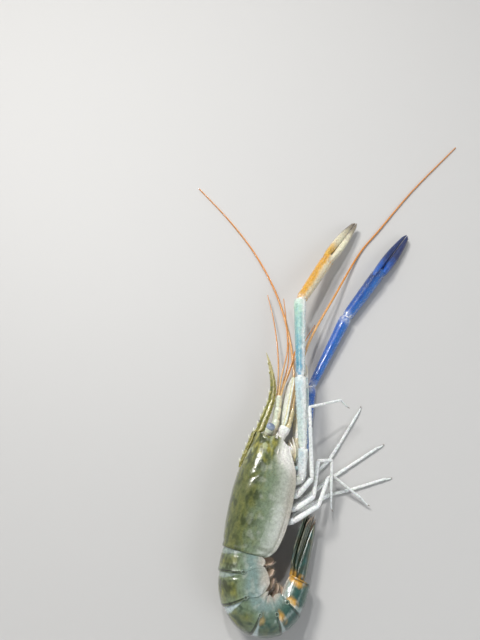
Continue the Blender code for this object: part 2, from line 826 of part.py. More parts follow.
def tail_segment(index):
    """One ring of the tail: a round back, side plates with rounded tips, and the belly between them."""
    front = STARTS[index] + GAP / 2
    rear = STARTS[index + 1] - GAP / 2
    depth = SEGMENTS[index][3]
    rings = []
    for share in (0.0, 0.14, 0.34, 0.6, 0.84, 1.0):
        lobe = 0.62 + 0.38 * math.sin(math.pi * (0.12 + 0.80 * share)) ** 0.7
        step_out = 0.965 + 0.04 * share ** 1.5

        def place(r, u, share=share, step_out=step_out):
            low = min(1.0, max(0.0, (-u - 2.0) / 6.0))
            shift = SEAM_SHIFTS[index] * (1 - share) + SEAM_SHIFTS[index + 1] * share
            q = front + (rear - front) * share + shift * low
            spot, _, back, right = tail_frame(q)
            return spot + back * u * step_out + right * r * step_out

        q = front + (rear - front) * share
        width = tail_size(q, 1)
        belly = min(BELLY_DEPTH, depth * 0.5)
        rings.append(shell_ring(width, tail_size(q, 2), depth * lobe, PLATE_WALL, belly, width * 0.86, place))
    return add_mesh(f"abdomen_{index + 1}", strip_loft(rings), "tail_shell")


def fan_point(y, r, n):
    """A place on the tail fan: y towards its tip, r to the right, n towards the back."""
    place, heading, back, right = tail_frame(STARTS[-1])
    angle = math.radians(FAN_TURN)
    heading = -FORWARD * math.cos(angle) - BACK * math.sin(angle)
    level_back = BACK * math.cos(angle) - FORWARD * math.sin(angle)
    twist = math.radians(FAN_TWIST)
    fan_back = level_back * math.cos(twist) + RIGHT * math.sin(twist)
    settle = min(1.0, y / FAN_SETTLE)
    back = unit(back * (1 - settle) + fan_back * settle)
    right = np.cross(back, heading)
    return place + heading * y + right * r + back * (n - FAN_CAMBER * r * r * settle)


def telson():
    rings = []
    for y, half, top in TELSON_ROWS:
        ring = []
        for across, up in TELSON_SHAPE:
            ring.append(fan_point(y, across * half, -1.0 + up * (top + 0.4)))
        rings.append(ring)
    return add_mesh("telson", loft(rings, None, fan_point(TELSON_LENGTH, 0.0, -0.6)), "tail_fan")


def fan_blade(name, side, rows, length, level):
    """One flat blade of the fan, from rows of (share of length, inner edge, outer edge, half thickness)."""
    rings = []
    for share, inner, outer, thick in rows:
        y = GAP + 0.1 + share * length
        middle = (inner + outer) / 2
        half = (outer - inner) / 2
        ring = []
        for across, up in BLADE_SHAPE:
            ring.append(fan_point(y, side * (middle + across * half), level + up * thick))
        rings.append(ring)
    middle = (rows[-1][1] + rows[-1][2]) / 2
    tip = fan_point(GAP + 0.1 + length, side * middle, level)
    return add_mesh(name, loft(rings, None, tip), "tail_fan")


def tail_fan():
    telson()
    for side, word in ((1, "right"), (-1, "left")):
        fan_blade(f"uropod_inner_{word}", side, INNER_BLADE, FAN_LENGTH * 0.92, INNER_LEVEL)
        fan_blade(f"uropod_outer_{word}", side, OUTER_BLADE, FAN_LENGTH, OUTER_LEVEL)


def eye(side, word):
    """Stalk and cornea, set under the root of the rostrum."""
    base = on_body(FACE_S + GAP, EYE_ROOT[0], side * EYE_ROOT[1])
    end = on_body(EYE_END[0], EYE_END[1], side * EYE_END[2])
    axis = unit(end - base)
    rows = [(share, radius, radius) for share, radius in EYE_STALK]
    add_mesh(f"eyestalk_{word}", segment(base, end, rows, 10, BACK, FORWARD), "head_limb")
    start = end + axis * GAP
    rings = []
    first, second = side_frame(axis, BACK)
    for along, radius in CORNEA:
        ring = []
        for k in range(12):
            angle = 2 * math.pi * k / 12
            out = first * math.cos(angle) + second * math.sin(angle)
            ring.append(start + axis * along + out * radius)
        rings.append(ring)
    add_mesh(f"eye_{word}", loft(rings, None, start + axis * CORNEA_LENGTH), "eye")


def antennule(side, word):
    """The upper feeler: a three-piece stalk and three thin lashes."""
    stalk_path = mirrored(STALK_PLACES, side)
    skins = [path_tube(stalk_path, STALK_RADII, 8, BACK, FORWARD)]
    thick, thin = LASH_RADII
    for route in LASH_ROUTES[side]:
        path = smooth_path(mirrored(route, side), 3)
        radii = [thick + (thin - thick) * i / (len(path) - 1) for i in range(len(path))]
        skins.append(path_tube(path, radii, 5, BACK))
    fuse(f"antennule_{word}", skins, "feeler")


def antenna(side, word):
    """The lower feeler: its base, the broad scale, and the long lash."""
    skin = path_tube(mirrored(FEELER_BASE, side), FEELER_BASE_RADII, 10, BACK, FORWARD, False)
    add_mesh(f"antenna_base_{word}", skin, "head_limb")
    rings = []
    wide_way = unit(RIGHT * side * 0.94 - BACK * 0.35)
    thick_way = unit(np.cross(wide_way, FORWARD))
    start_s, start_u, start_r = SCALE_START
    for s, inner, outer, thick in SCALE_ROWS:
        centre = on_body(s, start_u + (s - start_s) * 0.02, side * (start_r + (s - start_s) * 0.01))
        ring = []
        for across, up in (
            (outer, 0.0),
            (outer * 0.6, thick),
            (0.0, thick),
            (-inner * 0.6, thick * 0.8),
            (-inner, 0.0),
            (-inner * 0.6, -thick * 0.8),
            (0.0, -thick),
            (outer * 0.6, -thick),
        ):
            ring.append(centre + wide_way * across + thick_way * up)
        rings.append(ring)
    tip = on_body(SCALE_TIP[0], SCALE_TIP[1], side * SCALE_TIP[2])
    add_mesh(f"antenna_scale_{word}", loft(rings, None, tip), "head_limb")
    antenna_lash(side, word)


def antenna_lash(side, word):
    """The long lash, thick where it leaves its stalk and as thin as a hair at its tip."""
    stalk = mirrored(LONG_LASH_STALK, side)
    route = [stalk[-1]] + [np.array(place) for place in LONG_LASH_ROUTES[side]]
    path = stalk + smooth_path(route, 4)[1:]
    thick = LONG_LASH_STALK_RADII[-1]
    free = len(path) - len(stalk)
    radii = list(LONG_LASH_STALK_RADII)
    radii += [thick + (LONG_LASH_TIP - thick) * (i / free) ** 0.7 for i in range(1, free + 1)]
    add_mesh(f"antenna_{word}", path_tube(path, radii, 6, BACK, FORWARD), "feeler")


def jointed_leg(points, radii):
    """Path and radii of a slim leg, drawn in a little at each joint."""
    path = []
    sizes = []
    for i in range(len(points) - 1):
        a, b = np.asarray(points[i], float), np.asarray(points[i + 1], float)
        big, small = radii[i], radii[i + 1]
        swells = ((0.0, 0.9), (0.13, 1.1), (0.87, 1.05)) if i else ((0.0, 0.95), (0.5, 1.0))
        for share, swell in swells:
            path.append(a + (b - a) * share)
            sizes.append((big + (small - big) * share) * swell)
    path.append(np.asarray(points[-1], float))
    sizes.append(radii[-1])
    return path, sizes


def leg_root(s, r):
    return on_body(s, chest_line(s) - GAP, r)


def chest_normal(s):
    """The direction across the underside of the chest at a station."""
    slope = (chest_line(s + 1.5) - chest_line(s - 1.5)) / 3.0
    return unit(BACK - FORWARD * slope)


def slim_leg(name, points, radii, normal, slot="leg_white"):
    path, sizes = jointed_leg(points, radii)
    return add_mesh(name, path_tube(path, sizes, 6, RIGHT, normal), slot)


def walking_legs():
    for name, (root, places, world) in SLIM_LEGS.items():
        points = [leg_root(*root)] + mirrored(places, 1) + [np.array(place) for place in world]
        slim_leg(name, points, LEG_RADII, chest_normal(root[0]))


def small_claw_leg(side, word):
    """The slender first leg, which ends in a small pincer."""
    station, aside = SMALL_CLAW_ROOT
    points = [leg_root(station, side * aside)] + mirrored(SMALL_CLAW_PLACES, side)
    path, sizes = jointed_leg(points, SMALL_CLAW_RADII)
    skins = [path_tube(path, sizes, 6, RIGHT, chest_normal(station), False)]
    start = on_body(128.5, -18.0, side * 9.1)
    for shift, out in ((0.55, 0.9), (-0.55, -0.5)):
        tip = on_body(139.5, -15.0 + out, side * 10.0)
        middle = (start + tip) / 2 + BACK * shift * 1.5
        skins.append(path_tube([start + BACK * shift * 0.6, middle, tip], [0.72, 0.62, 0.32], 5, BACK))
    fuse(f"leg_1_{word}", skins, "leg_white")


def maxilliped(side, word):
    station, aside = MOUTH_LEG_ROOT
    points = [leg_root(station, side * aside)] + mirrored(MOUTH_LEG_PLACES, side)
    slim_leg(f"maxilliped_{word}", points, MOUTH_LEG_RADII, chest_normal(station), "head_limb")


def thorn_rows(start, end, near, far, hint, rows, count, length, seed):
    """Rows of small spines along a limb, pointing out and forward."""
    draw = np.random.default_rng(seed)
    along = unit(end - start)
    first, second = side_frame(along, hint)
    skins = []
    for row in range(rows):
        angle = 2 * math.pi * (row + 0.25) / rows
        out = first * math.cos(angle) + second * math.sin(angle)
        for k in range(count):
            share = 0.12 + 0.76 * (k + 0.5 * (row % 2) + draw.uniform(-0.12, 0.12)) / count
            radius = near + (far - near) * share
            root = start + (end - start) * share + out * radius * 0.95
            size = length * draw.uniform(0.8, 1.15)
            skins.append(thorn(root, out + along * 0.5, along, size, size * 0.5, 3))
    return skins


def claw_rows(name, length):
    """How thick a piece of the claw leg is along its length."""
    near, far = CLAW_RADII[name]
    if name == "coxa":
        sizes = ((0.0, near), (0.3, near * 1.1), (1.0, far))
    else:
        sizes = (
            (0.0, near * 0.86),
            (2.6 / length, near * 1.02),
            (0.45, near + (far - near) * 0.35),
            (1.0 - 5.0 / length, far),
            (1.0 - 2.2 / length, far * 1.02),
            (1.0, far * 0.84),
        )
    return [(share, radius, radius) for share, radius in sizes]


def claw(side, word, body_places, world_places, slots):
    """The big second leg in five pieces and a finger, each meeting the next face to face."""
    joints = [leg_root(*body_places[0])] + mirrored(body_places[1:], 1)
    joints += [np.array(place) for place in world_places]
    normals = [-chest_normal(body_places[0][0])]
    for i in range(1, len(joints) - 1):
        normals.append(bend_normal(joints[i - 1], joints[i], joints[i + 1]))
    for i, name in enumerate(CLAW_PIECES):
        start = joints[i] + (normals[i] * GAP / 2 if i else 0.0)
        end = joints[i + 1] - normals[i + 1] * GAP / 2
        rows = claw_rows(name, np.linalg.norm(end - start))
        skin = segment(start, end, rows, 10, RIGHT, normals[i], normals[i + 1])
        slot = slots.get(name, "leg_white")
        if name == "coxa":
            add_mesh(f"claw_{word}_coxa", skin, slot)
            continue
        near, far = CLAW_RADII[name]
        skins = [skin] + thorn_rows(start, end, near, far, RIGHT, 4, CLAW_SPINES[name], SPINE_HEIGHT, 7 + i)
        if name == "palm":
            skins.append(fixed_finger(joints, side))
        fuse(f"claw_{word}_{name}", skins, slot)
    moving_finger(joints, normals[-1], side, word, slots["dactyl"])


def finger_ways(joints, side):
    """Along the fingers, and across them towards the moving one."""
    along = unit(joints[-1] - joints[-2])
    across, _ = side_frame(along, np.cross(RIGHT, along))
    return along, across * side, np.linalg.norm(joints[-1] - joints[-2])


def fixed_finger(joints, side):
    """The fixed finger, which runs on from the palm."""
    along, across, length = finger_ways(joints, side)
    start = joints[-2]
    path = [
        start - along * 9.0 - across * 2.0,
        start + along * 1.5 - across * FINGER_SIDE,
        start + along * length * 0.35 - across * (FINGER_SIDE + FINGER_BOW * 0.5),
        start + along * length * 0.7 - across * (FINGER_SIDE - 0.4),
        start + along * length * 0.9 - across * 1.5,
        start + along * (length - 0.8) - across * 0.3,
    ]
    return path_tube(path, FIXED_FINGER_RADII, 8, RIGHT)


def moving_finger(joints, normal, side, word, slot):
    along, across, length = finger_ways(joints, side)
    start = joints[-2] + normal * GAP / 2 + across * (FINGER_SIDE + 0.1)
    path = [
        start,
        start + along * 3.0 + across * 0.3,
        start + along * length * 0.35 + across * FINGER_BOW,
        start + along * length * 0.7 + across * FINGER_BOW * 0.3,
        start + along * length * 0.9 - across * FINGER_BOW,
        start + along * (length - 1.5) - across * FINGER_BOW * 2.0,
    ]
    skin = path_tube(path, MOVING_FINGER_RADII, 8, RIGHT, normal)
    add_mesh(f"claw_{word}_dactyl", skin, slot)


def paddle(rows, centre_line, across_way, thick_way, tip, root=None, normal=None):
    """A thin blade from rows of (share of length, half width, half thickness)."""
    rings = []
    for share, wide, thick in rows:
        ring = []
        for across, up in ((1.0, 0.0), (0.5, 1.0), (-0.5, 1.0), (-1.0, 0.0), (-0.5, -1.0), (0.5, -1.0)):
            point = centre_line(share) + across_way * across * wide + thick_way * up * thick
            if share == 0.0 and root is not None:
                point = onto_plane(point, unit(tip - root), root, normal)
            ring.append(point)
        rings.append(ring)
    return loft(rings, None, tip)


def swimmeret(index, side, word):
    """A swimming leg: a short stem and two thin paddles, swept along the belly."""
    place, heading, back, right = tail_frame((STARTS[index] + STARTS[index + 1]) / 2)
    belly = min(BELLY_DEPTH, SEGMENTS[index][3] * 0.5) * BELLY_STEP
    root = place - back * (belly + GAP) + right * side * PADDLE_SIDE
    sweep = math.radians(PADDLE_SWEEPS[index])
    length = PADDLE_LENGTHS[index]
    way = unit(-back * math.cos(sweep) - heading * math.sin(sweep))
    flat = unit(np.cross(way, right))
    aside = unit(way + flat * 0.10 + right * side * 0.15)
    start = root + way * length * 0.22 + flat * 0.5
    first = paddle(
        PADDLE_ROWS, lambda share: root + way * length * share, right, flat, root + way * length, root, back
    )
    second = paddle(
        SECOND_PADDLE_ROWS,
        lambda share: start + aside * length * 0.75 * share,
        right,
        flat,
        start + aside * length * 0.8,
    )
    fuse(f"swimmeret_{index + 1}_{word}", [first, second], "swimmeret")


def build():
    clear_scene()
    carapace()
    thorax()
    rostrum()
    for index in range(6):
        tail_segment(index)
    tail_fan()
    for side, word in ((1, "right"), (-1, "left")):
        eye(side, word)
        antennule(side, word)
        antenna(side, word)
        maxilliped(side, word)
        small_claw_leg(side, word)
        for index in range(5):
            swimmeret(index, side, word)
    walking_legs()
    claw(1, "right", CLAW_RIGHT_BODY, CLAW_RIGHT_WORLD, RIGHT_CLAW_SLOTS)
    claw(-1, "left", CLAW_LEFT_BODY, CLAW_LEFT_WORLD, LEFT_CLAW_SLOTS)
    for made in list(bpy.data.objects):
        rest_on_floor(made)


build()
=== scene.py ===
"""The looks of a giant river prawn, which lies on its left side with its tail curled under.

The script works in millimetres and writes metres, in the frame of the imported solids: +Y runs
towards the head, and the right side of the animal faces up. Places on the body are given as
(s, u, r): s runs forward from the joint between carapace and tail, u towards the back, and r
towards the right side.
"""

import math

import bmesh
import bpy
import numpy as np
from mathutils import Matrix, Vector, noise


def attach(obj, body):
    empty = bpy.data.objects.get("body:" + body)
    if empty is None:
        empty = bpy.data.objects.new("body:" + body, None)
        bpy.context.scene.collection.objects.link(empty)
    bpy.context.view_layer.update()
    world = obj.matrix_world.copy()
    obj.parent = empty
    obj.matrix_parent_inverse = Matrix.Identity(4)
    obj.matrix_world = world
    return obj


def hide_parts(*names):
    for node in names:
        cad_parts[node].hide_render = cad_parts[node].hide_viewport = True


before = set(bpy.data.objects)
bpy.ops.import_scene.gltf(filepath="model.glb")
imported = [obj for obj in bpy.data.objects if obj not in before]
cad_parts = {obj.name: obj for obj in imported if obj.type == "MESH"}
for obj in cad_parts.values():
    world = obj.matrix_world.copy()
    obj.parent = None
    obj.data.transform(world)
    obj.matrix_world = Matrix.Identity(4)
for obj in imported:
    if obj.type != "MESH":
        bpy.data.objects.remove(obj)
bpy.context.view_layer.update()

MM = 0.001
FLOOR_CLEARANCE = 0.00001
FLOOR_RADIUS = 1.6
FLOOR_BEND = 0.9
WALL_TOP = 3.2

# The camera, for a frame of 480 by 640
CAMERA_PLACE = (-0.0157, -0.0222, 0.383)
CAMERA_DROP = math.radians(66.0)
FILM_HEIGHT = 36.0
LENS = 27.0

# Both sides of the body, how far a plate's rounded edge stands out, and the rows of a tube's dome
SIDES = ((1, "right"), (-1, "left"))
PLATE_LIP = 0.35
DOME_ROWS = 4

# The lie of the body
BODY_START = np.array([-13.65, -33.2, 17.5])
BODY_TURN = math.radians(14.0)
BODY_ROLL = math.radians(6.0)

# Carapace: station, height of the back, depth of the lower edge, half width
CARAPACE_STATIONS = (
    (0.0, 14.5, 13.0, 14.6),
    (2.0, 14.9, 17.0, 15.0),
    (5.5, 15.4, 20.0, 15.5),
    (13.0, 16.2, 22.6, 16.4),
    (24.0, 17.0, 24.4, 17.2),
    (36.0, 17.2, 25.0, 17.5),
    (48.0, 16.3, 24.8, 17.1),
    (58.0, 14.6, 23.6, 16.0),
    (66.0, 12.6, 21.2, 14.3),
    (72.0, 11.2, 18.4, 12.8),
    (76.5, 10.1, 16.2, 11.4),
)
FRONT_EDGE = (
    (-22.0, 70.0),
    (-17.0, 74.0),
    (-10.0, 78.0),
    (-4.5, 80.3),
    (0.0, 78.2),
    (4.0, 78.6),
    (9.0, 80.0),
)
FRONT_DRAWN_FROM = 45.0
CARAPACE_END = CARAPACE_STATIONS[-1][0]
SPECKS = 420
CARAPACE_LOW = 0.70
CARAPACE_WALL = 1.7
FACE_S = 77.3

# Tail segments: length, half width, height of the back, depth of the side plate
SEGMENTS = (
    (11.2, 15.2, 14.6, 14.5),
    (14.6, 16.6, 15.2, 17.0),
    (14.0, 16.5, 14.6, 14.5),
    (12.0, 15.5, 12.9, 12.0),
    (11.0, 13.0, 11.6, 9.0),
    (16.0, 9.8, 9.4, 5.8),
)
SEGMENT_TURNS = (7.0, 16.0, 52.0, 98.0, 138.0, 166.0)
SEGMENT_TWISTS = (0.0, 0.0, 0.0, 4.0, 10.0, 20.0)
FAN_TURN = 172.0
FAN_TWIST = 30.0
BELLY_DEPTH = 6.4
GAP_EDGE = 0.4
SEAM_SHIFTS = (0.0, -3.2, 3.4, 1.2, 1.0, 0.6, 0.0)

# Tail fan
FAN_LENGTH = 42.0
FAN_CAMBER = 0.011
FAN_SETTLE = 10.0
TELSON_ROWS = (
    (0.4, 4.6, 5.0),
    (4.0, 5.2, 5.0),
    (12.0, 4.8, 4.2),
    (22.0, 3.9, 3.0),
    (31.0, 2.7, 1.9),
    (36.0, 1.6, 1.0),
)
TELSON_SPINES = ((16.0, 2.6), (26.0, 2.0))
RIB_PITCH = 2.4
RIB_START = 2.0
INNER_BLADE = (
    (0.0, 1.0, 4.2, 1.2),
    (0.1, 0.7, 5.4, 1.1),
    (0.3, 0.4, 8.2, 0.62),
    (0.55, 0.4, 9.6, 0.5),
    (0.8, 0.9, 9.2, 0.42),
    (0.94, 2.4, 7.4, 0.35),
)
OUTER_BLADE = (
    (0.0, 4.0, 7.0, 1.2),
    (0.1, 3.6, 8.0, 1.1),
    (0.3, 2.4, 10.4, 0.62),
    (0.55, 2.2, 12.4, 0.5),
    (0.8, 3.2, 12.2, 0.42),
    (0.94, 5.0, 10.0, 0.35),
)
INNER_LEVEL = -2.4
OUTER_LEVEL = -4.5

# Rostrum: station, upper edge, lower edge, half thickness
ROSTRUM_STATIONS = (
    (84.0, 10.6, 4.0, 1.7),
    (92.0, 9.4, 2.8, 1.5),
    (100.0, 7.8, 1.8, 1.3),
    (108.0, 6.6, 1.2, 1.15),
    (116.0, 6.9, 2.0, 1.0),
    (124.0, 8.7, 4.4, 0.85),
    (132.0, 11.4, 8.2, 0.7),
    (139.0, 14.1, 12.1, 0.55),
)
ROSTRUM_END = 144.6
CREST_START = 53.0
CREST_END = 80.6
CREST_HEIGHT = 1.9
UPPER_TEETH = (57.5, 63.5, 69.5, 75.5, 81.5, 87.5, 93.5, 99.5, 106.0, 113.5, 130.0, 137.0)
LOWER_TEETH = (94.0, 99.0, 104.0, 109.0, 114.0, 119.0, 124.0, 129.0, 134.0)

# Joints of the claw legs: the first places are on the body, the rest in the world
CLAW_RIGHT_BODY = ((52.0, 5.6), (55.5, -29.2, 8.0), (76.0, -24.6, 13.8))
CLAW_RIGHT_WORLD = ((30.0, 86.2, 33.6), (34.5, 155.7, 22.0), (63.9, 203.6, 12.0), (94.1, 245.2, 7.0))
CLAW_LEFT_BODY = ((52.0, -5.6), (55.0, -28.6, -7.0), (76.0, -31.0, -9.2))
CLAW_LEFT_WORLD = ((41.8, 85.9, 4.6), (75.3, 147.3, 5.2), (109.9, 192.6, 6.4), (140.8, 233.1, 5.0))
CLAW_PIECES = ("coxa", "ischium", "merus", "carpus", "palm")
CLAW_RADII = {
    "coxa": (3.2, 2.9),
    "ischium": (2.7, 3.4),
    "merus": (3.1, 4.2),
    "carpus": (3.2, 5.0),
    "palm": (4.6, 5.9),
}
SPINE_ROWS = 11
SPINE_PITCH = 1.9
SPINE_LENGTH = 1.05
FINGER_SIDE = 2.9
FINGER_BOW = 1.0
FIXED_FINGER_RADII = (2.6, 2.7, 2.4, 2.0, 1.35, 0.5)
MOVING_FINGER_RADII = (2.3, 2.7, 2.5, 2.0, 1.35, 0.5)

# Joints of the slim legs: root (station, side), then places on the body, then places in the world
LEG_RADII = (2.3, 2.0, 1.5, 1.3, 1.1, 0.9, 0.45)
SLIM_LEGS = {
    "leg_3_right": (
        (42.8, 5.8),
        ((44.0, -28.4, 7.2), (57.0, -35.0, 13.0), (91.0, -25.5, 20.5), (105.0, -22.5, 20.0)),
        ((61.3, 70.8, 24.0), (68.3, 65.8, 19.0)),
    ),
    "leg_4_right": (
        (33.8, 5.8),
        ((35.0, -28.8, 7.4), (46.0, -39.5, 8.6), (71.0, -38.0, 9.0), (74.0, -48.0, 8.0)),
        ((50.3, 0.6, 12.0), (51.3, -7.4, 9.0)),
    ),
    "leg_5_right": (
        (24.8, 5.8),
        ((27.0, -28.8, 9.0), (41.0, -43.5, 10.5), (62.0, -49.0, 2.0)),
        ((52.8, 17.1, 11.0), (73.8, 1.6, 5.5), (79.8, -3.4, 3.5)),
    ),
    "leg_3_left": (
        (42.8, -5.8),
        ((45.0, -27.6, -7.0),),
        ((28.8, 8.6, 3.0), (52.8, 29.6, 1.8), (61.8, 41.6, 1.6), (77.8, 64.6, 1.3), (81.8, 71.6, 0.8)),
    ),
    "leg_4_left": (
        (33.8, -5.8),
        ((35.0, -28.4, -7.0),),
        ((27.8, -1.4, 3.0), (53.8, 16.6, 1.8), (65.8, 23.6, 1.6), (90.8, 38.6, 1.3), (96.8, 41.6, 0.8)),
    ),
    "leg_5_left": (
        (24.8, -5.8),
        ((25.0, -28.2, -7.0),),
        ((24.8, -8.9, 3.0), (51.8, 4.6, 1.8), (65.8, 7.6, 1.6), (93.8, 15.6, 1.3), (99.8, 16.6, 0.8)),
    ),
}
SMALL_CLAW_ROOT = (60.8, 4.0)
SMALL_CLAW_PLACES = (
    (62.5, -26.0, 4.6),
    (74.0, -26.6, 5.4),
    (98.0, -24.5, 6.6),
    (122.0, -20.0, 8.5),
    (130.0, -17.5, 9.2),
)
SMALL_CLAW_RADII = (1.9, 1.7, 1.4, 1.25, 1.3, 1.2)
MOUTH_LEG_ROOT = (66.6, 3.6)
MOUTH_LEG_PLACES = ((68.6, -22.4, 3.8), (84.0, -20.6, 4.4), (99.0, -18.2, 4.8), (112.0, -16.0, 5.4))
MOUTH_LEG_RADII = (1.9, 2.0, 1.7, 1.4, 0.6)

# Where legs grow from the chest, and the rim of each socket for a leg 1 mm in radius
SOCKET = ((-1.2, 1.25), (0.0, 1.3), (0.9, 1.12), (1.1, 0.95), (0.5, 0.8), (0.0, 0.2))
LEG_PLACES = ((24.8, 5.8), (33.8, 5.8), (42.8, 5.8), (52.0, 5.6), (60.8, 4.0), (66.6, 3.6))

# Eyes: where the stalk starts and ends, its radii along it, and the radius of the eye
EYE_ROOT = (3.6, 4.4)
EYE_END = (83.6, 1.6, 8.4)
EYE_STALK = ((0.0, 1.9), (0.35, 1.8), (0.75, 2.4), (1.0, 2.8))
EYE_RADIUS = 3.3

# Upper feelers: stalk joints and radii, the spine beside them, then the lashes: radii and routes
STALK_JOINTS = ((76.5, -1.9, 2.9), (92.5, -2.9, 4.0), (102.0, -2.1, 4.3), (111.0, -1.0, 4.8))
STALK_SIZES = (2.55, 2.4, 2.25)
STALK_SPINE = (81.0, -2.6, 4.8)
LASH_RADII = (0.72, 0.36)
LASH_ROUTES = {
    1: (
        ((108.5, -0.4, 4.8), (125.0, 1.0, 6.5), (150.0, 1.0, 5.5), (178.0, 7.0, -1.0), (200.0, 12.0, -9.0)),
        ((108.5, -1.6, 5.6), (124.0, -2.6, 8.2), (144.0, -5.0, 7.0), (170.0, -7.0, 0.0), (190.0, -5.0, -8.0)),
        ((108.5, -1.6, 4.0), (122.0, -1.8, 3.4), (140.0, -2.5, 1.0), (160.0, 0.0, -5.0)),
    ),
    -1: (
        ((108.5, -0.4, 4.8), (125.0, 1.0, 7.5), (150.0, 6.0, 10.5), (178.0, 15.0, 13.5), (203.0, 26.0, 16.0)),
        (
            (108.5, -1.6, 5.6),
            (124.0, -3.4, 8.6),
            (146.0, -8.0, 11.0),
            (168.0, -14.0, 13.0),
            (186.0, -20.0, 14.0),
        ),
        ((108.5, -1.6, 4.0), (122.0, -3.6, 4.6), (138.0, -6.4, 7.4), (156.0, -7.0, 11.0)),
    ),
}

# Lower feelers: the scale, the base's joints, and the long lash, whose far part lies on the floor
SCALE_START = (88.0, -8.0, 8.4)
SCALE_END = 127.4
SCALE_ROWS = (
    (88.3, 1.2, 1.6, 0.9),
    (91.0, 2.6, 3.2, 0.9),
    (97.0, 4.6, 4.2, 0.7),
    (106.0, 6.2, 4.2, 0.6),
    (115.0, 6.2, 4.0, 0.5),
    (121.5, 4.8, 3.8, 0.45),
    (126.0, 2.2, 3.2, 0.4),
)
LONG_LASH_START = (101.5, -12.4, 9.1)
LONG_LASH_RADII = (1.25, 0.5)
FEELER_JOINTS = ((76.6, -7.4, 5.4), (81.5, -8.6, 6.8), (88.2, -9.8, 8.6))
LASH_JOINTS = ((87.2, -11.5, 8.5), (91.5, -11.9, 8.7), (96.0, -12.2, 8.9), (101.6, -12.4, 9.1))
LASH_SIZES = (2.3, 2.2, 2.0)
LONG_LASH_ROUTES = {
    1: (
        (26.8, 76.6, 23.8),
        (39.8, 118.6, 17.5),
        (68.8, 170.6, 7.0),
        (94.8, 214.6, 1.4),
        (116.8, 241.6, 1.2),
        (155.8, 288.6, 1.0),
        (207.8, 343.6, 0.8),
    ),
    -1: (
        (26.3, 76.6, 4.2),
        (28.8, 100.6, 2.0),
        (25.8, 135.6, 1.4),
        (15.8, 175.6, 1.2),
        (-2.2, 215.6, 1.0),
        (-26.2, 252.6, 0.9),
        (-56.2, 290.6, 0.7),
    ),
}

# Swimming legs, from the first segment to the fifth
PADDLE_SWEEPS = (10.0, 23.0, 6.0, -27.0, -48.0)
PADDLE_LENGTHS = (15.0, 17.0, 16.5, 14.5, 10.5)
PADDLE_SIDE = 4.6
PADDLE_ROWS = ((0.0, 1.5, 1.0), (0.2, 2.4, 0.6), (0.5, 3.3, 0.35), (0.8, 2.7, 0.28), (0.99, 0.6, 0.2))
BRANCH_ROWS = ((0.0, 1.2, 0.7), (0.3, 2.4, 0.4), (0.6, 2.9, 0.3), (0.85, 2.1, 0.25), (0.99, 0.5, 0.2))

# Finish of the materials
COAT_ROUGHNESS = 0.06
SCATTER_RADIUS = (0.6, 0.8, 0.5)
SCATTER_SCALE = 0.0016
BUMP_HEIGHT = 0.00022
BLOT_RANGE = (0.32, 0.68)
SPECK_RANGE = (0.56, 0.66)

# The studio: floor, sky, and lamps with their size, power and colour
FLOOR_SIDES = 96
FLOOR_COLOUR = (0.58, 0.575, 0.565, 1.0)
GLOW_RANGE = (0.7, 2.3)
GLOW_STRENGTH = 0.24
GLOW_COLOUR = (0.97, 0.98, 1.0, 1.0)
SKY_COLOUR = (0.80, 0.86, 0.95, 1.0)
SKY_STRENGTH = 0.2
LAMP_AIM = (0.02, 0.08, 0.0)
LAMPS = {
    "key": ((-0.89, 1.15, 1.60), 0.45, 27.0, (1.0, 0.98, 0.95)),
    "fill": ((0.9, -0.5, 0.9), 0.7, 3.0, (0.92, 0.96, 1.0)),
    "spark": ((-0.12, 0.50, 0.72), 0.05, 1.8, (1.0, 1.0, 1.0)),
}

# Colours as linear red, green and blue
OLIVE = (0.095, 0.110, 0.020)
DARK_OLIVE = (0.022, 0.032, 0.007)
YELLOW_OLIVE = (0.330, 0.310, 0.060)
PALE_OLIVE = (0.430, 0.480, 0.290)
GREY_GREEN = (0.195, 0.255, 0.160)
BLUE_GREY = (0.215, 0.305, 0.280)
CLOUDY = (0.450, 0.480, 0.410)
CHEEK = (0.930, 0.910, 0.850)
PINK_GREY = (0.430, 0.370, 0.310)
PLEURA_PINK = (0.500, 0.460, 0.390)
TEAL = (0.020, 0.085, 0.075)
SEAM = (0.008, 0.013, 0.006)
PALE_BAND = (0.560, 0.680, 0.680)
ORANGE_SPOT = (0.700, 0.360, 0.040)
CREAM = (0.720, 0.620, 0.360)
YELLOW = (0.640, 0.560, 0.160)
PALE_BLUE = (0.520, 0.690, 0.740)
WHITE = (0.930, 0.940, 0.910)
SCALE_GREEN = (0.700, 0.770, 0.620)
FEELER_ORANGE = (0.720, 0.270, 0.035)
FEELER_CREAM = (0.820, 0.590, 0.300)
COBALT = (0.002, 0.100, 0.470)
NAVY = (0.004, 0.022, 0.120)
TEAL_BLUE = (0.015, 0.240, 0.420)
DEEP_CYAN = (0.010, 0.150, 0.520)
PALE_GREEN = (0.400, 0.640, 0.500)
PALE_MERUS = (0.640, 0.760, 0.680)
EYE_BLUE = (0.145, 0.190, 0.295)
EYE_PALE = (0.420, 0.500, 0.640)
CLAW_YELLOW = (0.700, 0.345, 0.008)
CLAW_CREAM = (0.800, 0.760, 0.560)
MAUVE = (0.300, 0.240, 0.250)
WARM_CREAM = (0.760, 0.450, 0.060)
TIP_GREY = (0.210, 0.170, 0.120)
SAND = (0.640, 0.490, 0.370)
BROWN = (0.130, 0.075, 0.035)
FAN_DARK = (0.045, 0.045, 0.022)
RIDGE_PALE = (0.300, 0.300, 0.200)
BRISTLE = (0.300, 0.150, 0.060)
PALE_BRISTLE = (0.640, 0.560, 0.420)


def unit(vector):
    vector = np.asarray(vector, float)
    return vector / np.maximum(np.linalg.norm(vector, axis=-1, keepdims=True), 1e-9)


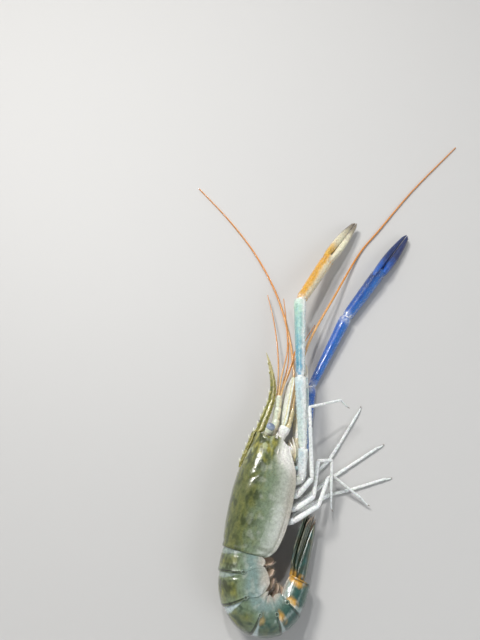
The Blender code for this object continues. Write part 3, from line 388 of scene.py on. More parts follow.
def body_frame():
    """Forward, back and right directions of the body as it lies."""
    level = np.array([-math.cos(BODY_TURN), math.sin(BODY_TURN), 0.0])
    up = np.array([0.0, 0.0, 1.0])
    forward = np.array([math.sin(BODY_TURN), math.cos(BODY_TURN), 0.0])
    back = level * math.cos(BODY_ROLL) + up * math.sin(BODY_ROLL)
    right = up * math.cos(BODY_ROLL) - level * math.sin(BODY_ROLL)
    return forward, back, right


FORWARD, BACK, RIGHT = body_frame()


def on_body(s, u, r):
    s, u, r = np.broadcast_arrays(np.asarray(s, float), u, r)
    return BODY_START + s[..., None] * FORWARD + u[..., None] * BACK + r[..., None] * RIGHT


def mirrored(places, side):
    """Places on the body, given for its right side, on the right (1) or the left (-1)."""
    return [on_body(s, u, side * r) for s, u, r in places]


def step_between(low, high, value):
    """0 below low, 1 above high, and a smooth rise between them."""
    share = np.clip((np.asarray(value, float) - low) / (high - low), 0.0, 1.0)
    return share * share * (3 - 2 * share)


def hump(centre, width, value):
    return np.exp(-(((np.asarray(value, float) - centre) / width) ** 2))


def flow(table, column, at):
    """One column of a table of stations, read smoothly between its rows without overshoot."""
    rows = np.array(table, float)
    x, y = rows[:, 0], rows[:, column]
    step = np.diff(x)
    slope = np.diff(y) / step
    tangent = np.concatenate([[slope[0]], np.zeros(len(x) - 2), [slope[-1]]])
    for i in range(1, len(x) - 1):
        if slope[i - 1] * slope[i] > 0:
            tangent[i] = 2 * slope[i - 1] * slope[i] / (slope[i - 1] + slope[i])
    at = np.clip(np.asarray(at, float), x[0], x[-1])
    i = np.clip(np.searchsorted(x, at, side="right") - 1, 0, len(x) - 2)
    t = (at - x[i]) / step[i]
    rise = y[i] * (1 + 2 * t) * (1 - t) ** 2 + y[i + 1] * t * t * (3 - 2 * t)
    return rise + step[i] * (tangent[i] * t * (1 - t) ** 2 - tangent[i + 1] * t * t * (1 - t))


def smooth_path(points, steps):
    """Points along a Catmull-Rom curve through the given ones."""
    points = [np.asarray(p, float) for p in points]
    padded = [2 * points[0] - points[1]] + points + [2 * points[-1] - points[-2]]
    out = []
    for i in range(1, len(padded) - 2):
        a, b, c, d = padded[i - 1 : i + 3]
        for k in range(steps):
            t = k / steps
            bend = (2 * a - 5 * b + 4 * c - d) * t * t + (3 * b - a - 3 * c + d) * t ** 3
            out.append(0.5 * (2 * b + (c - a) * t + bend))
    out.append(points[-1])
    return np.array(out)


def even_path(points, count, steps=16):
    """That many points, evenly apart, along a smooth curve through the given ones."""
    fine = smooth_path(points, steps)
    run = np.concatenate([[0.0], np.cumsum(np.linalg.norm(np.diff(fine, axis=0), axis=1))])
    at = np.linspace(0.0, run[-1], count)
    return np.stack([np.interp(at, run, fine[:, k]) for k in range(3)], 1), at


def cloud(points, scale, seed=0.0):
    """Soft noise from about -1 to 1 at points in millimetres, with features of that scale."""
    flat = np.asarray(points, float).reshape(-1, 3) / scale + seed
    values = [noise.noise(Vector(p)) for p in flat]
    return np.array(values).reshape(np.asarray(points).shape[:-1])


def paint(first, second, share):
    """Colours from the first to the second, by a share at each point."""
    share = np.clip(np.asarray(share, float), 0.0, 1.0)[..., None]
    return np.asarray(first, float) * (1 - share) + np.asarray(second, float) * share


def grid_faces(rows, cols, wrap=False):
    r = np.arange(rows - 1)[:, None]
    c = np.arange(cols if wrap else cols - 1)[None, :]
    a = r * cols + c
    b = r * cols + (c + 1) % cols
    return np.stack([a, b, b + cols, a + cols], -1).reshape(-1, 4)


def grid_normals(points):
    """Normals of a curved sheet, on the side away from its own middle."""
    across = np.gradient(points, axis=1)
    down = np.gradient(points, axis=0)
    normals = unit(np.cross(across, down))
    away = np.sum(normals * (points - points.mean(axis=(0, 1))))
    return normals if away > 0 else -normals


def circle(sides):
    """Angles round a ring."""
    return 2 * math.pi * np.arange(sides) / sides


def sheet_grid(first, last, rows, cols):
    """Rows from first to last, and shares from -1 to 1 across."""
    return np.meshgrid(np.linspace(first, last, rows), np.linspace(-1.0, 1.0, cols), indexing="ij")


def ring_grid(first, last, rows, sides):
    """Rows from first to last, and angles round each."""
    return np.meshgrid(np.linspace(first, last, rows), circle(sides), indexing="ij")


def bent(value, power):
    """A power that keeps the sign."""
    return np.sign(value) * np.abs(value) ** power


def graded(count, tint, tip_tint, share):
    """Colours of many spines or hairs, which turn from the tint to that of the tip."""
    tint = np.broadcast_to(np.asarray(tint, float), (count, 3))
    tip_tint = np.broadcast_to(np.asarray(tip_tint, float), (count, 3))
    share = np.asarray(share)[None, :, None]
    return tint[:, None] * (1 - share) + tip_tint[:, None] * share


class Skin:
    """Points, faces and colours of one piece, put together from many shapes."""

    def __init__(self):
        self.points = []
        self.quads = []
        self.tris = []
        self.tints = []
        self.count = 0

    def add(self, points, tint, quads, tris=None):
        points = np.asarray(points, float).reshape(-1, 3)
        tint = np.broadcast_to(np.asarray(tint, float), points.shape) if np.ndim(tint) == 1 else tint
        self.tints.append(np.asarray(tint, float).reshape(-1, 3))
        self.points.append(points)
        self.quads.append(quads + self.count)
        if tris is not None:
            self.tris.append(tris + self.count)
        self.count += len(points)

    def sheet(self, points, tint):
        rows, cols = points.shape[:2]
        self.add(points, tint, grid_faces(rows, cols))

    def hull(self, rings, tint, end=None):
        """Closed rings, with a point that closes each end."""
        rows, cols = rings.shape[:2]
        start = rings[0].mean(axis=0)
        end = rings[-1].mean(axis=0) if end is None else end
        points = np.concatenate([rings.reshape(-1, 3), [start, end]])
        if np.ndim(tint) > 1:
            tint = np.asarray(tint, float).reshape(rows, cols, 3)
            tint = np.concatenate([tint.reshape(-1, 3), [tint[0].mean(axis=0), tint[-1].mean(axis=0)]])
        k = np.arange(cols)
        after = (k + 1) % cols
        first = np.stack([after, k, np.full(cols, rows * cols)], 1)
        base = (rows - 1) * cols
        last = np.stack([base + k, base + after, np.full(cols, rows * cols + 1)], 1)
        self.add(points, tint, grid_faces(rows, cols, True), np.concatenate([first, last]))

    def plate(self, points, tint, thickness):
        """A sheet with thickness below it and a rounded free edge all round."""
        rows, cols = points.shape[:2]
        normals = grid_normals(points)
        tint = np.broadcast_to(np.asarray(tint, float), points.shape)
        border = np.concatenate([
            np.arange(cols),
            np.arange(1, rows) * cols + cols - 1,
            (rows - 1) * cols + np.arange(cols - 2, -1, -1),
            np.arange(rows - 2, 0, -1) * cols,
        ])
        flat = points.reshape(-1, 3)
        below = flat - normals.reshape(-1, 3) * thickness
        rim = flat[border]
        run = np.roll(rim, -1, axis=0) - np.roll(rim, 1, axis=0)
        aside = unit(np.cross(normals.reshape(-1, 3)[border], run))
        centre = rim.mean(axis=0)
        outward = np.sign(np.sum(aside * (rim - centre), axis=1)).sum()
        aside = aside if outward > 0 else -aside
        edge = rim - normals.reshape(-1, 3)[border] * thickness / 2 + aside * thickness * PLATE_LIP
        total = rows * cols
        count = len(border)
        top = grid_faces(rows, cols)
        k = np.arange(count)
        after = (k + 1) % count
        upper = np.stack([border[k], border[after], 2 * total + after, 2 * total + k], 1)
        lower = np.stack([2 * total + k, 2 * total + after, total + border[after], total + border[k]], 1)
        # The face below is painted shade: it gets the colour of the face above at 0.8.
        flat_tint = tint.reshape(-1, 3)
        self.add(
            np.concatenate([flat, below, edge]),
            np.concatenate([flat_tint, flat_tint * 0.8, flat_tint[border]]),
            np.concatenate([top, top[:, ::-1] + total, upper, lower]),
        )

    def lathe(self, centre, axis, profile, tint, hint, sides):
        """A turned shape from rows of (distance along the axis, radius)."""
        axis = unit(axis)
        first, second = side_frame(axis, hint)
        angle = circle(sides)
        out = first[None] * np.cos(angle)[:, None] + second[None] * np.sin(angle)[:, None]
        profile = np.array(profile, float)
        rings = np.asarray(centre) + profile[:, 0, None, None] * axis + profile[:, 1, None, None] * out[None]
        if np.ndim(tint) > 1:
            tint = np.broadcast_to(np.asarray(tint, float)[:, None, :], rings.shape)
        self.hull(rings, tint)

    def thorns(self, roots, out, lean, length, width, tint, curve, sides, tip_tint, flat=0.68):
        """Small curved spines, each with its root sunk in."""
        roots = np.atleast_2d(roots)
        count = len(roots)
        out = unit(np.broadcast_to(out, roots.shape))
        lean = np.broadcast_to(lean, roots.shape)
        first = unit(lean - out * np.sum(lean * out, axis=1, keepdims=True))
        second = np.cross(out, first)
        length = np.broadcast_to(length, count)[:, None, None, None]
        width = np.broadcast_to(width, count)[:, None, None, None]
        angle = circle(sides)
        around = (
            first[:, None, None, :] * np.cos(angle)[None, None, :, None] * 1.25
            + second[:, None, None, :] * np.sin(angle)[None, None, :, None] * 1.25 * flat
        )
        high = np.array((-0.35, 0.05, 0.4, 0.75))[None, :, None, None]
        thin = np.array((1.25, 1.0, 0.62, 0.28))[None, :, None, None]
        bend = first[:, None, None, :] * (curve * np.maximum(high, 0.0) ** 1.6)
        rings = roots[:, None, None, :] + (out[:, None, None, :] * high + bend) * length
        rings = rings + around * thin * width
        tips = roots + (out + first * curve) * length[:, 0, 0]
        points = np.concatenate([rings.reshape(count, -1, 3), tips[:, None, :]], 1)
        rows = 4
        each = rows * sides + 1
        quads = grid_faces(rows, sides, True)
        k = np.arange(sides)
        top = (rows - 1) * sides
        tris = np.stack([top + k, top + (k + 1) % sides, np.full(sides, rows * sides)], 1)
        floor = np.stack([np.full(sides - 2, 0), k[2:], k[1:-1]], 1)
        tris = np.concatenate([tris, floor])
        shift = np.arange(count)[:, None, None] * each
        share = np.concatenate([np.repeat((0.0, 0.1, 0.5, 0.85), sides), [1.0]])
        colours = graded(count, tint, tip_tint, share)
        self.add(points, colours, (quads + shift).reshape(-1, 4), (tris + shift).reshape(-1, 3))

    def hairs(self, roots, tips, width, tint, tip_tint):
        """Fine three-sided bristles from their roots to their tips."""
        roots = np.atleast_2d(roots)
        tips = np.atleast_2d(tips)
        count = len(roots)
        along = unit(tips - roots)
        other = np.where(np.abs(along[:, 2:]) < 0.8, (0.0, 0.0, 1.0), (1.0, 0.0, 0.0))
        first = unit(np.cross(along, other))
        second = np.cross(along, first)
        angle = circle(3)[None, :, None]
        around = first[:, None] * np.cos(angle) + second[:, None] * np.sin(angle)
        middle = (roots + tips) / 2
        width = np.broadcast_to(width, count)[:, None, None]
        points = np.concatenate(
            [roots[:, None] + around * width, middle[:, None] + around * width * 0.7, tips[:, None]], 1
        )
        quads = grid_faces(2, 3, True)
        tris = np.array([[3, 4, 6], [4, 5, 6], [5, 3, 6], [0, 2, 1]])
        shift = np.arange(count)[:, None, None] * 7
        colours = graded(count, tint, tip_tint, (0.0, 0.0, 0.0, 0.5, 0.5, 0.5, 1.0))
        self.add(points, colours, (quads + shift).reshape(-1, 4), (tris + shift).reshape(-1, 3))

    def hard(self, name, slot, roughness, bump):
        """The piece in hard shell, standing for the node of its own name."""
        self.piece(name, slot, shell(name, roughness, bump), name)

    def piece(self, name, slot, material, *nodes):
        """The mesh object, riding on the body and standing for its nodes."""
        points = np.concatenate(self.points) * MM
        points[:, 2] = np.maximum(points[:, 2], FLOOR_CLEARANCE)
        quads = np.concatenate(self.quads)
        tris = np.concatenate(self.tris) if self.tris else np.zeros((0, 3), int)
        mesh = bpy.data.meshes.new(name)
        mesh.vertices.add(len(points))
        mesh.vertices.foreach_set("co", points.ravel())
        corners = np.concatenate([quads.ravel(), tris.ravel()]).astype(np.int32)
        starts = np.concatenate([
            np.arange(len(quads)) * 4,
            len(quads) * 4 + np.arange(len(tris)) * 3,
        ]).astype(np.int32)
        mesh.loops.add(len(corners))
        mesh.loops.foreach_set("vertex_index", corners)
        mesh.polygons.add(len(starts))
        mesh.polygons.foreach_set("loop_start", starts)
        mesh.update(calc_edges=True)
        mesh.validate()
        shape = bmesh.new()
        shape.from_mesh(mesh)
        bmesh.ops.recalc_face_normals(shape, faces=shape.faces)
        shape.to_mesh(mesh)
        shape.free()
        tints = np.concatenate(self.tints)
        colour = mesh.color_attributes.new("tint", "FLOAT_COLOR", "POINT")
        colour.data.foreach_set("color", np.concatenate([tints, np.ones((len(tints), 1))], 1).ravel())
        mesh.materials.append(material)
        mesh.shade_smooth()
        made = bpy.data.objects.new(name, mesh)
        bpy.context.scene.collection.objects.link(made)
        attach(made, "root")
        if nodes:
            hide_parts(*nodes)


def side_frame(direction, hint):
    """Two directions across a line, the first as near the hint as can be."""
    along = unit(direction)
    first = unit(np.asarray(hint, float) - along * np.dot(hint, along))
    return first, np.cross(along, first)


def path_rings(path, wide, tall, sides, hint):
    """Rings round a path, and the direction out of each point."""
    tangents = unit(np.gradient(path, axis=0))
    angle = circle(sides)
    first, _ = side_frame(tangents[0], hint)
    rings = []
    outs = []
    for here, along, w, t in zip(path, tangents, wide, tall):
        first, second = side_frame(along, first)
        out = first * np.cos(angle)[:, None] * t + second * np.sin(angle)[:, None] * w
        rings.append(here + out)
        outs.append(unit(out))
    return np.array(rings), np.array(outs)


def round_ends(path, radius, start, end):
    """Adds rows beyond both ends of a path, so that its tube closes in a dome."""
    angle = np.linspace(0, math.pi / 2, DOME_ROWS + 1)[1:]
    bow = np.sin(angle)
    thin = np.cos(angle) + 0.02
    first = unit(path[0] - path[1])
    last = unit(path[-1] - path[-2])
    head = path[0] + first * bow[::-1, None] * radius[0] * start
    tail = path[-1] + last * bow[:, None] * radius[-1] * end
    radii = np.concatenate([radius[0] * thin[::-1], radius, radius[-1] * thin])
    return np.concatenate([head, path, tail]), radii


def clip(value, low=0.0, high=1.0):
    return np.clip(value, low, high)


STARTS = np.concatenate([[0.0], np.cumsum([row[0] for row in SEGMENTS])])
MIDDLES = (STARTS[:-1] + STARTS[1:]) / 2
SIDE_BEND = 0.56
BAND_STRENGTH = (0.3, 0.35, 0.95, 0.9, 0.6, 0.45)
REAR_TEAL = (0.0, 0.0, 0.25, 0.7, 0.95, 1.0)
JOINT_GLOW = (0.0, 0.0, 0.0, 0.35, 0.85, 0.95)
SIDE_JOINT = ((-1.5, 1.7), (0.1, 1.6), (0.5, 1.3), (0.66, 0.95), (0.5, 0.7), (0.05, 0.45), (0.0, 0.05))
BELLY_DEPTHS = (6.4, 6.4, 6.4, 6.4, 6.0, 4.5, 2.9, 2.9)
TAIL_FRONT_SIZE = {1: 14.3, 2: 14.2}
TAIL_REAR_SIZE = {1: 8.6, 2: 8.2}


def tail_turn(values, last, q):
    """Radians read along the tail, from one number of degrees for each segment."""
    places = np.concatenate([[0.0], MIDDLES, [STARTS[-1] + 12.0]])
    return np.radians(np.interp(q, places, [0.0] + list(values) + [last]))


def tail_line():
    """Fine points along the line of side joints, from the carapace to the fan."""
    step = 0.25
    count = int(round((STARTS[-1] + 1.0) / step))
    angle = tail_turn(SEGMENT_TURNS, FAN_TURN, (np.arange(count) + 0.5) * step)[:, None]
    heading = -FORWARD * np.cos(angle) - BACK * np.sin(angle)
    start = on_body(0.0, 0.0, 0.0)
    places = np.concatenate([[start], start + np.cumsum(heading * step, axis=0)])
    return np.arange(count + 1) * step, places


LINE_RUN, LINE = tail_line()


def tail_frames(q):
    """Places, and heading, back and right directions, at lengths along the tail."""
    q = np.asarray(q, float)
    ahead = np.maximum(q, 0.0)
    place = np.stack([np.interp(ahead, LINE_RUN, LINE[:, k]) for k in range(3)], -1)
    angle = tail_turn(SEGMENT_TURNS, FAN_TURN, ahead)[..., None]
    twist = tail_turn(SEGMENT_TWISTS, FAN_TWIST, ahead)[..., None]
    heading = -FORWARD * np.cos(angle) - BACK * np.sin(angle)
    back = BACK * np.cos(angle) - FORWARD * np.sin(angle)
    turned = back * np.cos(twist) + RIGHT * np.sin(twist)
    right = RIGHT * np.cos(twist) - back * np.sin(twist)
    return place + heading * np.minimum(q, 0.0)[..., None], heading, turned, right


def on_tail(q, u, r):
    place, _, back, right = tail_frames(q)
    return place + back * np.asarray(u)[..., None] + right * np.asarray(r)[..., None]


def tail_size(q, column):
    sizes = [row[column] for row in SEGMENTS]
    sizes = [TAIL_FRONT_SIZE[column]] + sizes + [TAIL_REAR_SIZE[column]]
    table = list(zip(np.concatenate([[0.0], MIDDLES, [STARTS[-1]]]), sizes))
    return flow(table, 1, q)


def fan_points(y, r, n):
    """Places on the tail fan: y towards its tip, r to the right, n towards the back."""
    y, r, n = np.broadcast_arrays(np.asarray(y, float), r, n)
    place, _, back, _ = tail_frames(STARTS[-1])
    angle = math.radians(FAN_TURN)
    heading = -FORWARD * math.cos(angle) - BACK * math.sin(angle)
    level_back = BACK * math.cos(angle) - FORWARD * math.sin(angle)
    twist = math.radians(FAN_TWIST)
    fan_back = level_back * math.cos(twist) + RIGHT * math.sin(twist)
    settle = clip(y / FAN_SETTLE)[..., None]
    way = unit(back * (1 - settle) + fan_back * settle)
    right = np.cross(way, heading)
    rise = (n - FAN_CAMBER * r * r * settle[..., 0])[..., None]
    return place + heading * y[..., None] + right * r[..., None] + way * rise


def shell_line(share, width, height, depth, low_width):
    """Across and up on a shell's cross-section, at shares from -1 (left edge) to 1 (right edge)."""
    size = np.abs(share)
    angle = np.minimum(size / SIDE_BEND, 1.0) * math.pi / 2
    down = np.maximum(size - SIDE_BEND, 0.0) / (1 - SIDE_BEND)
    over = width * np.sin(angle) ** 0.92
    across = np.where(down > 0, width + (low_width - width) * down ** 2, over)
    up = np.where(down > 0, -depth * down, height * np.maximum(np.cos(angle), 0.0) ** 0.88)
    return np.sign(share) * across, up


def drawn_forward(s, u):
    """Where a point of a straight station goes, so that the last station follows the front edge."""
    share = np.maximum(0.0, (s - FRONT_DRAWN_FROM) / (CARAPACE_END - FRONT_DRAWN_FROM))
    return s + (flow(FRONT_EDGE, 1, u) - CARAPACE_END) * share ** 2


def chest_line(s):
    """Height of the underside of the chest, where the legs grow."""
    return -flow(CARAPACE_STATIONS, 2, s) + 2.2


def carapace_place(s, share):
    """Body coordinates of the carapace's outer face."""
    height, depth, width = (flow(CARAPACE_STATIONS, k, s) for k in (1, 2, 3))
    across, up = shell_line(share, width, height, depth, width * CARAPACE_LOW)
    return drawn_forward(s, up), up, across


def carapace_relief(s, u):
    """How far the carapace's face stands out, in millimetres: swellings, grooves and rims."""
    swelling = 0.45 * hump(30.0, 20.0, s) * hump(-8.0, 9.0, u)
    swelling = swelling + 0.3 * hump(62.0, 9.0, s) * hump(3.0, 6.0, u)
    neck_line = 40.0 + 0.95 * (14.0 - u)
    neck = -0.28 * hump(0.0, 2.3, s - neck_line) * step_between(-6.0, 0.0, u) * step_between(17.0, 12.0, u)
    gill_line = -6.8 - 0.02 * (76.0 - s)
    gill = -0.38 * hump(0.0, 0.7, u - gill_line) * step_between(44.0, 56.0, s)
    lower = -0.3 * hump(0.0, 0.8, u + 12.0 - 0.10 * (70.0 - s)) * step_between(34.0, 60.0, s)
    rear = 0.32 * hump(1.0, 0.9, s) - 0.3 * hump(3.6, 1.3, s)
    return swelling + neck + gill + lower + rear


def carapace_tint(s, u, points):
    """Olive and mottled above and in front, cloudy grey-green at the side, whitish at the lower edge."""
    drawn = points * (0.45, 1.0, 1.0)
    coarse = cloud(points, 8.0, 3.0)
    medium = cloud(drawn, 2.5, 11.0)
    fine = cloud(points, 0.9, 23.0)
    colour = paint(CLOUDY, GREY_GREEN, step_between(-19.0, -6.0, u + 2.5 * coarse))
    colour = paint(colour, OLIVE, 0.9 * step_between(-6.0, 9.0, u + 3.0 * coarse + 1.5 * medium))
    front = step_between(52.0, 70.0, s + 5.0 * coarse)
    colour = paint(colour, OLIVE, front * step_between(-12.0, -3.0, u + 2.0 * coarse))
    yellow = step_between(-0.15, 0.4, medium) * step_between(-10.0, -2.0, u)
    colour = paint(colour, YELLOW_OLIVE, (0.15 + 0.75 * front) * yellow)
    light = step_between(0.05, 0.45, cloud(drawn, 3.4, 71.0)) * step_between(-12.0, -5.0, u)
    colour = paint(colour, PALE_OLIVE, 0.7 * front * light)
    dark = step_between(0.0, 0.45, coarse * 0.5 - medium * 0.8) * step_between(-9.0, 3.0, u)
    colour = paint(colour, DARK_OLIVE, (0.6 + 0.2 * front) * dark)
    pale = step_between(0.1, 0.4, cloud(points, 4.5, 41.0)) * step_between(8.0, -4.0, u)
    colour = paint(colour, CLOUDY, 0.45 * pale)
    cheek = front * step_between(-5.0, -12.0, u + 1.5 * medium)
    colour = paint(colour, CHEEK, 0.95 * cheek)
    colour = paint(colour, PINK_GREY, 0.55 * step_between(-16.0, -23.0, u))
    fleck = step_between(0.25, 0.5, fine) * step_between(-14.0, 2.0, u)
    return paint(colour, DARK_OLIVE, 0.35 * fleck)


def carapace():
    """The shield over head and chest, with its spines and specks."""
    skin = Skin()
    s, share = sheet_grid(0.0, CARAPACE_END, 170, 221)
    place = np.stack(carapace_place(s, share), -1)
    edge = 0.28 * hump(1.0, 0.018, np.abs(share)) - 0.22 * hump(0.955, 0.016, np.abs(share))
    front = 0.25 * hump(CARAPACE_END, 0.7, s) - 0.2 * hump(CARAPACE_END - 1.9, 0.7, s)
    relief = carapace_relief(place[..., 0], place[..., 1]) + edge + front
    rough = 0.06 * cloud(place, 1.6) + 0.12 * cloud(place, 6.0, 5.0)
    place = place + grid_normals(place) * (relief + rough)[..., None]
    points = on_body(place[..., 0], place[..., 1], place[..., 2])
    skin.plate(points, carapace_tint(place[..., 0], place[..., 1], place), 0.9)
    cheek = paint(CHEEK, YELLOW, 0.2)
    for side in (1, -1):
        root = on_body(79.6, -4.5, side * 10.7)
        skin.thorns([root], FORWARD, -BACK, 3.6, 1.0, cheek, 0.08, 10, WHITE)
        root = on_body(68.5, -7.5, side * 13.0)
        skin.thorns([root], FORWARD + RIGHT * side * 0.5, FORWARD, 3.2, 0.8, cheek, 0.3, 10, WHITE)
    draw = np.random.default_rng(5)
    a, b, c = carapace_place(draw.uniform(46.0, 75.0, SPECKS), draw.uniform(-0.72, 0.72, SPECKS))
    out = unit(np.stack([np.zeros(SPECKS), clip(b / 8.0, -1.0, 1.0), c / 12.0], 1))
    way = out[:, 1:2] * BACK + out[:, 2:3] * RIGHT
    tone = carapace_tint(a, b, np.stack([a, b, c], 1)) * 0.75
    size = draw.uniform(0.25, 0.5, SPECKS)
    skin.thorns(on_body(a, b, c), way, FORWARD, size, 0.17, tone, 0.8, 4, YELLOW)
    skin.hard("carapace", "carapace_shell", 0.2, 0.3)
    head_front()


def head_front():
    """The soft front of the head inside the carapace, from which eyes and feelers grow."""
    skin = Skin()
    turn, out = np.meshgrid(np.linspace(0, 2 * math.pi, 73)[:-1], np.linspace(1.0, 0.0, 22), indexing="xy")
    across = bent(np.sin(turn), 0.85) * 11.6 * out
    up = -3.0 + bent(np.cos(turn), 0.85) * 12.4 * out
    s = FACE_S + 0.8 - 5.5 * out ** 4 + 0.5 * cloud(np.stack([across, up, out], -1), 3.0)
    s = s - 1.2 * hump(0.0, 1.0, across) + 0.8 * hump(3.0, 2.0, up) * hump(0.0, 4.0, across)
    tint = paint(SAND, BROWN, 0.5 + 0.5 * cloud(np.stack([across, up, s], -1), 2.0))
    rings = on_body(s, up, across)
    skin.add(rings, tint, grid_faces(22, 72, True))
    skin.piece("head_front", "underside", flesh("head_front"))


def thorax():
    """The chest between the legs: a row of plates along the middle, and soft walls beside them."""
    skin = Skin()
    s, a = sheet_grid(1.0, 74.0, 150, 61)
    width = flow(CARAPACE_STATIONS, 3, s) * CARAPACE_LOW - CARAPACE_WALL + 0.6
    wall = step_between(0.72, 1.0, np.abs(a))
    across = np.sign(a) * (np.minimum(np.abs(a) / 0.86, 1.0) * (width - 1.6) + 1.4 * wall)
    up = chest_line(s) - 0.25 + 10.0 * np.maximum(np.abs(a) - 0.82, 0.0) / 0.18
    ridge = np.abs(np.sin(math.pi * (s - 20.3) / 9.0)) ** 0.5
    up = up - 0.9 * (1 - ridge) * step_between(0.75, 0.3, np.abs(a)) + 0.7 * hump(0.0, 0.1, a)
    place = np.stack([s, up, across], -1)
    place[..., 1] += 0.15 * cloud(place, 2.0)
    colour = paint(SAND, CLOUDY, 0.4 + 0.5 * cloud(place, 3.0))
    colour = paint(colour, BROWN, 0.6 * (1 - ridge) + 0.5 * step_between(0.7, 0.95, np.abs(a)))
    skin.sheet(on_body(place[..., 0], place[..., 1], place[..., 2]), colour)
    tones = [BROWN, BROWN, SAND, CLOUDY, BROWN, BROWN]
    for s, r in LEG_PLACES:
        profile = np.array(SOCKET) * (1.0, 3.9 if s == CLAW_RIGHT_BODY[0][0] else 3.1)
        for side in (1, -1):
            centre = on_body(s, chest_line(s) + 0.2, side * r)
            skin.lathe(centre, -BACK + RIGHT * side * 0.25, profile, tones, FORWARD, 28)
    draw = np.random.default_rng(33)
    count = 500
    s = draw.uniform(20.0, 70.0, count)
    roots = on_body(s, chest_line(s) - 0.3, draw.uniform(-6.5, 6.5, count))
    way = FORWARD * draw.uniform(0.2, 1.0, count)[:, None] - BACK
    way = way + RIGHT * draw.normal(0, 0.4, count)[:, None]
    skin.hairs(roots, roots + unit(way) * draw.uniform(0.8, 2.0, count)[:, None], 0.04, SAND, PALE_BRISTLE)
    skin.piece("chest", "underside", flesh("chest"), "thorax")


def mouthparts():
    """Upper lip, jaws and the leaf-like inner mouth legs, between the chest and the feelers."""
    skin = Skin()
    s, a = sheet_grid(66.0, 79.5, 40, 41)
    t = (s - 66.0) / 13.5
    up = -19.0 + 9.5 * t ** 1.3 - 2.2 * hump(0.55, 0.22, t) * (1 - a ** 2) + 4.0 * a ** 2
    spot = np.stack([s, up, a * 8.6], -1)
    up = up + 0.35 * cloud(spot, 2.0)
    tone = paint(SAND, PINK_GREY, 0.5 + 0.5 * cloud(spot, 3.0))
    skin.plate(on_body(s, up, a * (8.9 - 1.2 * t)), tone, 0.8)
    for side in (1, -1):
        jaw = mirrored(((69.0, -18.0, 6.2), (74.0, -16.8, 5.0), (77.4, -16.6, 1.4)), side)
        article(skin, jaw[0], jaw[1], 2.4, 2.7, CREAM, WHITE, 0.9, 1.15, 24, 20)
        article(skin, jaw[1], jaw[2], 2.5, 1.5, WHITE, BROWN, 0.9, 1.0, 24, 20)
        for k, (out, low, reach) in enumerate(((5.6, -21.5, 83.0), (4.4, -20.2, 80.0))):
            places = ((66.8, low, out), (73.0, low + 0.4, out + 0.8), (reach, low + 4.5, out - 0.6))
            line, run = even_path(mirrored(places, side), 30)
            share = run / run[-1]
            wide = 2.2 * np.sin(math.pi * (0.12 + 0.8 * share)) ** 0.7
            rings, _ = path_rings(line, wide * 0.45, wide, 20, RIGHT)
            skin.hull(rings, np.repeat(paint(CREAM, WHITE, share)[:, None], 20, axis=1))
            draw = np.random.default_rng(140 + k)
            scatter_hairs(skin, line[8], line[-1], 1.4, 0.8, 320, draw, CREAM, (1.2, 2.4))
    skin.piece("mouthparts", "head_limb", flesh("mouthparts"))


def rostrum():
    """The toothed blade: a low crest along the back, then the free blade beyond the eyes."""
    skin = Skin()
    ridge_line = [(drawn_forward(row[0], row[1]), row[1]) for row in CARAPACE_STATIONS]
    rows = []
    for s in np.linspace(CREST_START, CREST_END, 8):
        low = flow(ridge_line, 1, s) - 0.6
        grow = (s - CREST_START) / (CREST_END - CREST_START)
        rows.append((s, low + 1.6 + CREST_HEIGHT * grow ** 0.5, low, 0.7 + 1.2 * grow))
    rows.append((81.6, 11.4, 6.0, 2.0))
    rows += list(ROSTRUM_STATIONS)
    rows.append((ROSTRUM_END, 16.7, 16.2, 0.25))
    s = np.linspace(CREST_START, ROSTRUM_END, 300)
    top, low, half = (flow(rows, k, s) for k in (1, 2, 3))
    sine, cosine = np.sin(circle(40)), np.cos(circle(40))
    keel = 0.36 + 0.64 * np.exp(-((cosine + 0.12) / 0.22) ** 2)
    across = half[:, None] * keel[None] * bent(sine, 0.6)
    ridge = low + (top - low) * 0.42
    reach = np.where(cosine[None] >= 0, (top - ridge)[:, None], (ridge - low)[:, None])
    up = ridge[:, None] + reach * cosine
    where = np.broadcast_to(s[:, None], up.shape)
    spot = np.stack([where, up, across], -1)
    colour = paint(YELLOW_OLIVE, OLIVE, 0.3 + 0.7 * cloud(spot, 4.0))
    colour = paint(colour, paint(YELLOW, CREAM, 0.5), 0.9 * np.exp(-((cosine + 0.12) / 0.16) ** 2)[None])
    colour = paint(colour, DARK_OLIVE, 0.5 * step_between(0.1, 0.5, cloud(spot, 1.5, 9.0)))
    colour = paint(colour, CREAM, 0.6 * step_between(118.0, 140.0, where))
    skin.hull(on_body(where, up, across), colour)
    for s in UPPER_TEETH:
        size = 2.7 if s < 115 else 1.9
        root = on_body(s - 0.4, flow(rows, 1, s) - 0.45, 0.0)
        way = BACK + FORWARD * 0.35
        skin.thorns([root], way, FORWARD, size, size * 0.5, YELLOW_OLIVE, 0.85, 14, WHITE, 0.4)
    for s in LOWER_TEETH:
        root = on_body(s - 0.3, flow(rows, 2, s) + 0.4, 0.0)
        skin.thorns([root], FORWARD * 0.4 - BACK, FORWARD, 1.9, 0.8, YELLOW_OLIVE, 0.7, 14, WHITE, 0.4)
    draw = np.random.default_rng(8)
    count = 260
    s = draw.uniform(86.0, 138.0, count)
    upper = draw.random(count) < 0.5
    u = np.where(upper, flow(rows, 1, s), flow(rows, 2, s))
    sign = np.where(upper, 1.0, -1.0)
    roots = on_body(s, u - 0.1 * sign, draw.uniform(-0.15, 0.15, count))
    tips = on_body(s + draw.uniform(0.8, 1.6, count), u + sign * draw.uniform(0.5, 1.1, count), 0.0)
    skin.hairs(roots, tips, 0.035, YELLOW_OLIVE, CREAM)
    skin.hard("rostrum", "rostrum_shell", 0.25, 0.6)


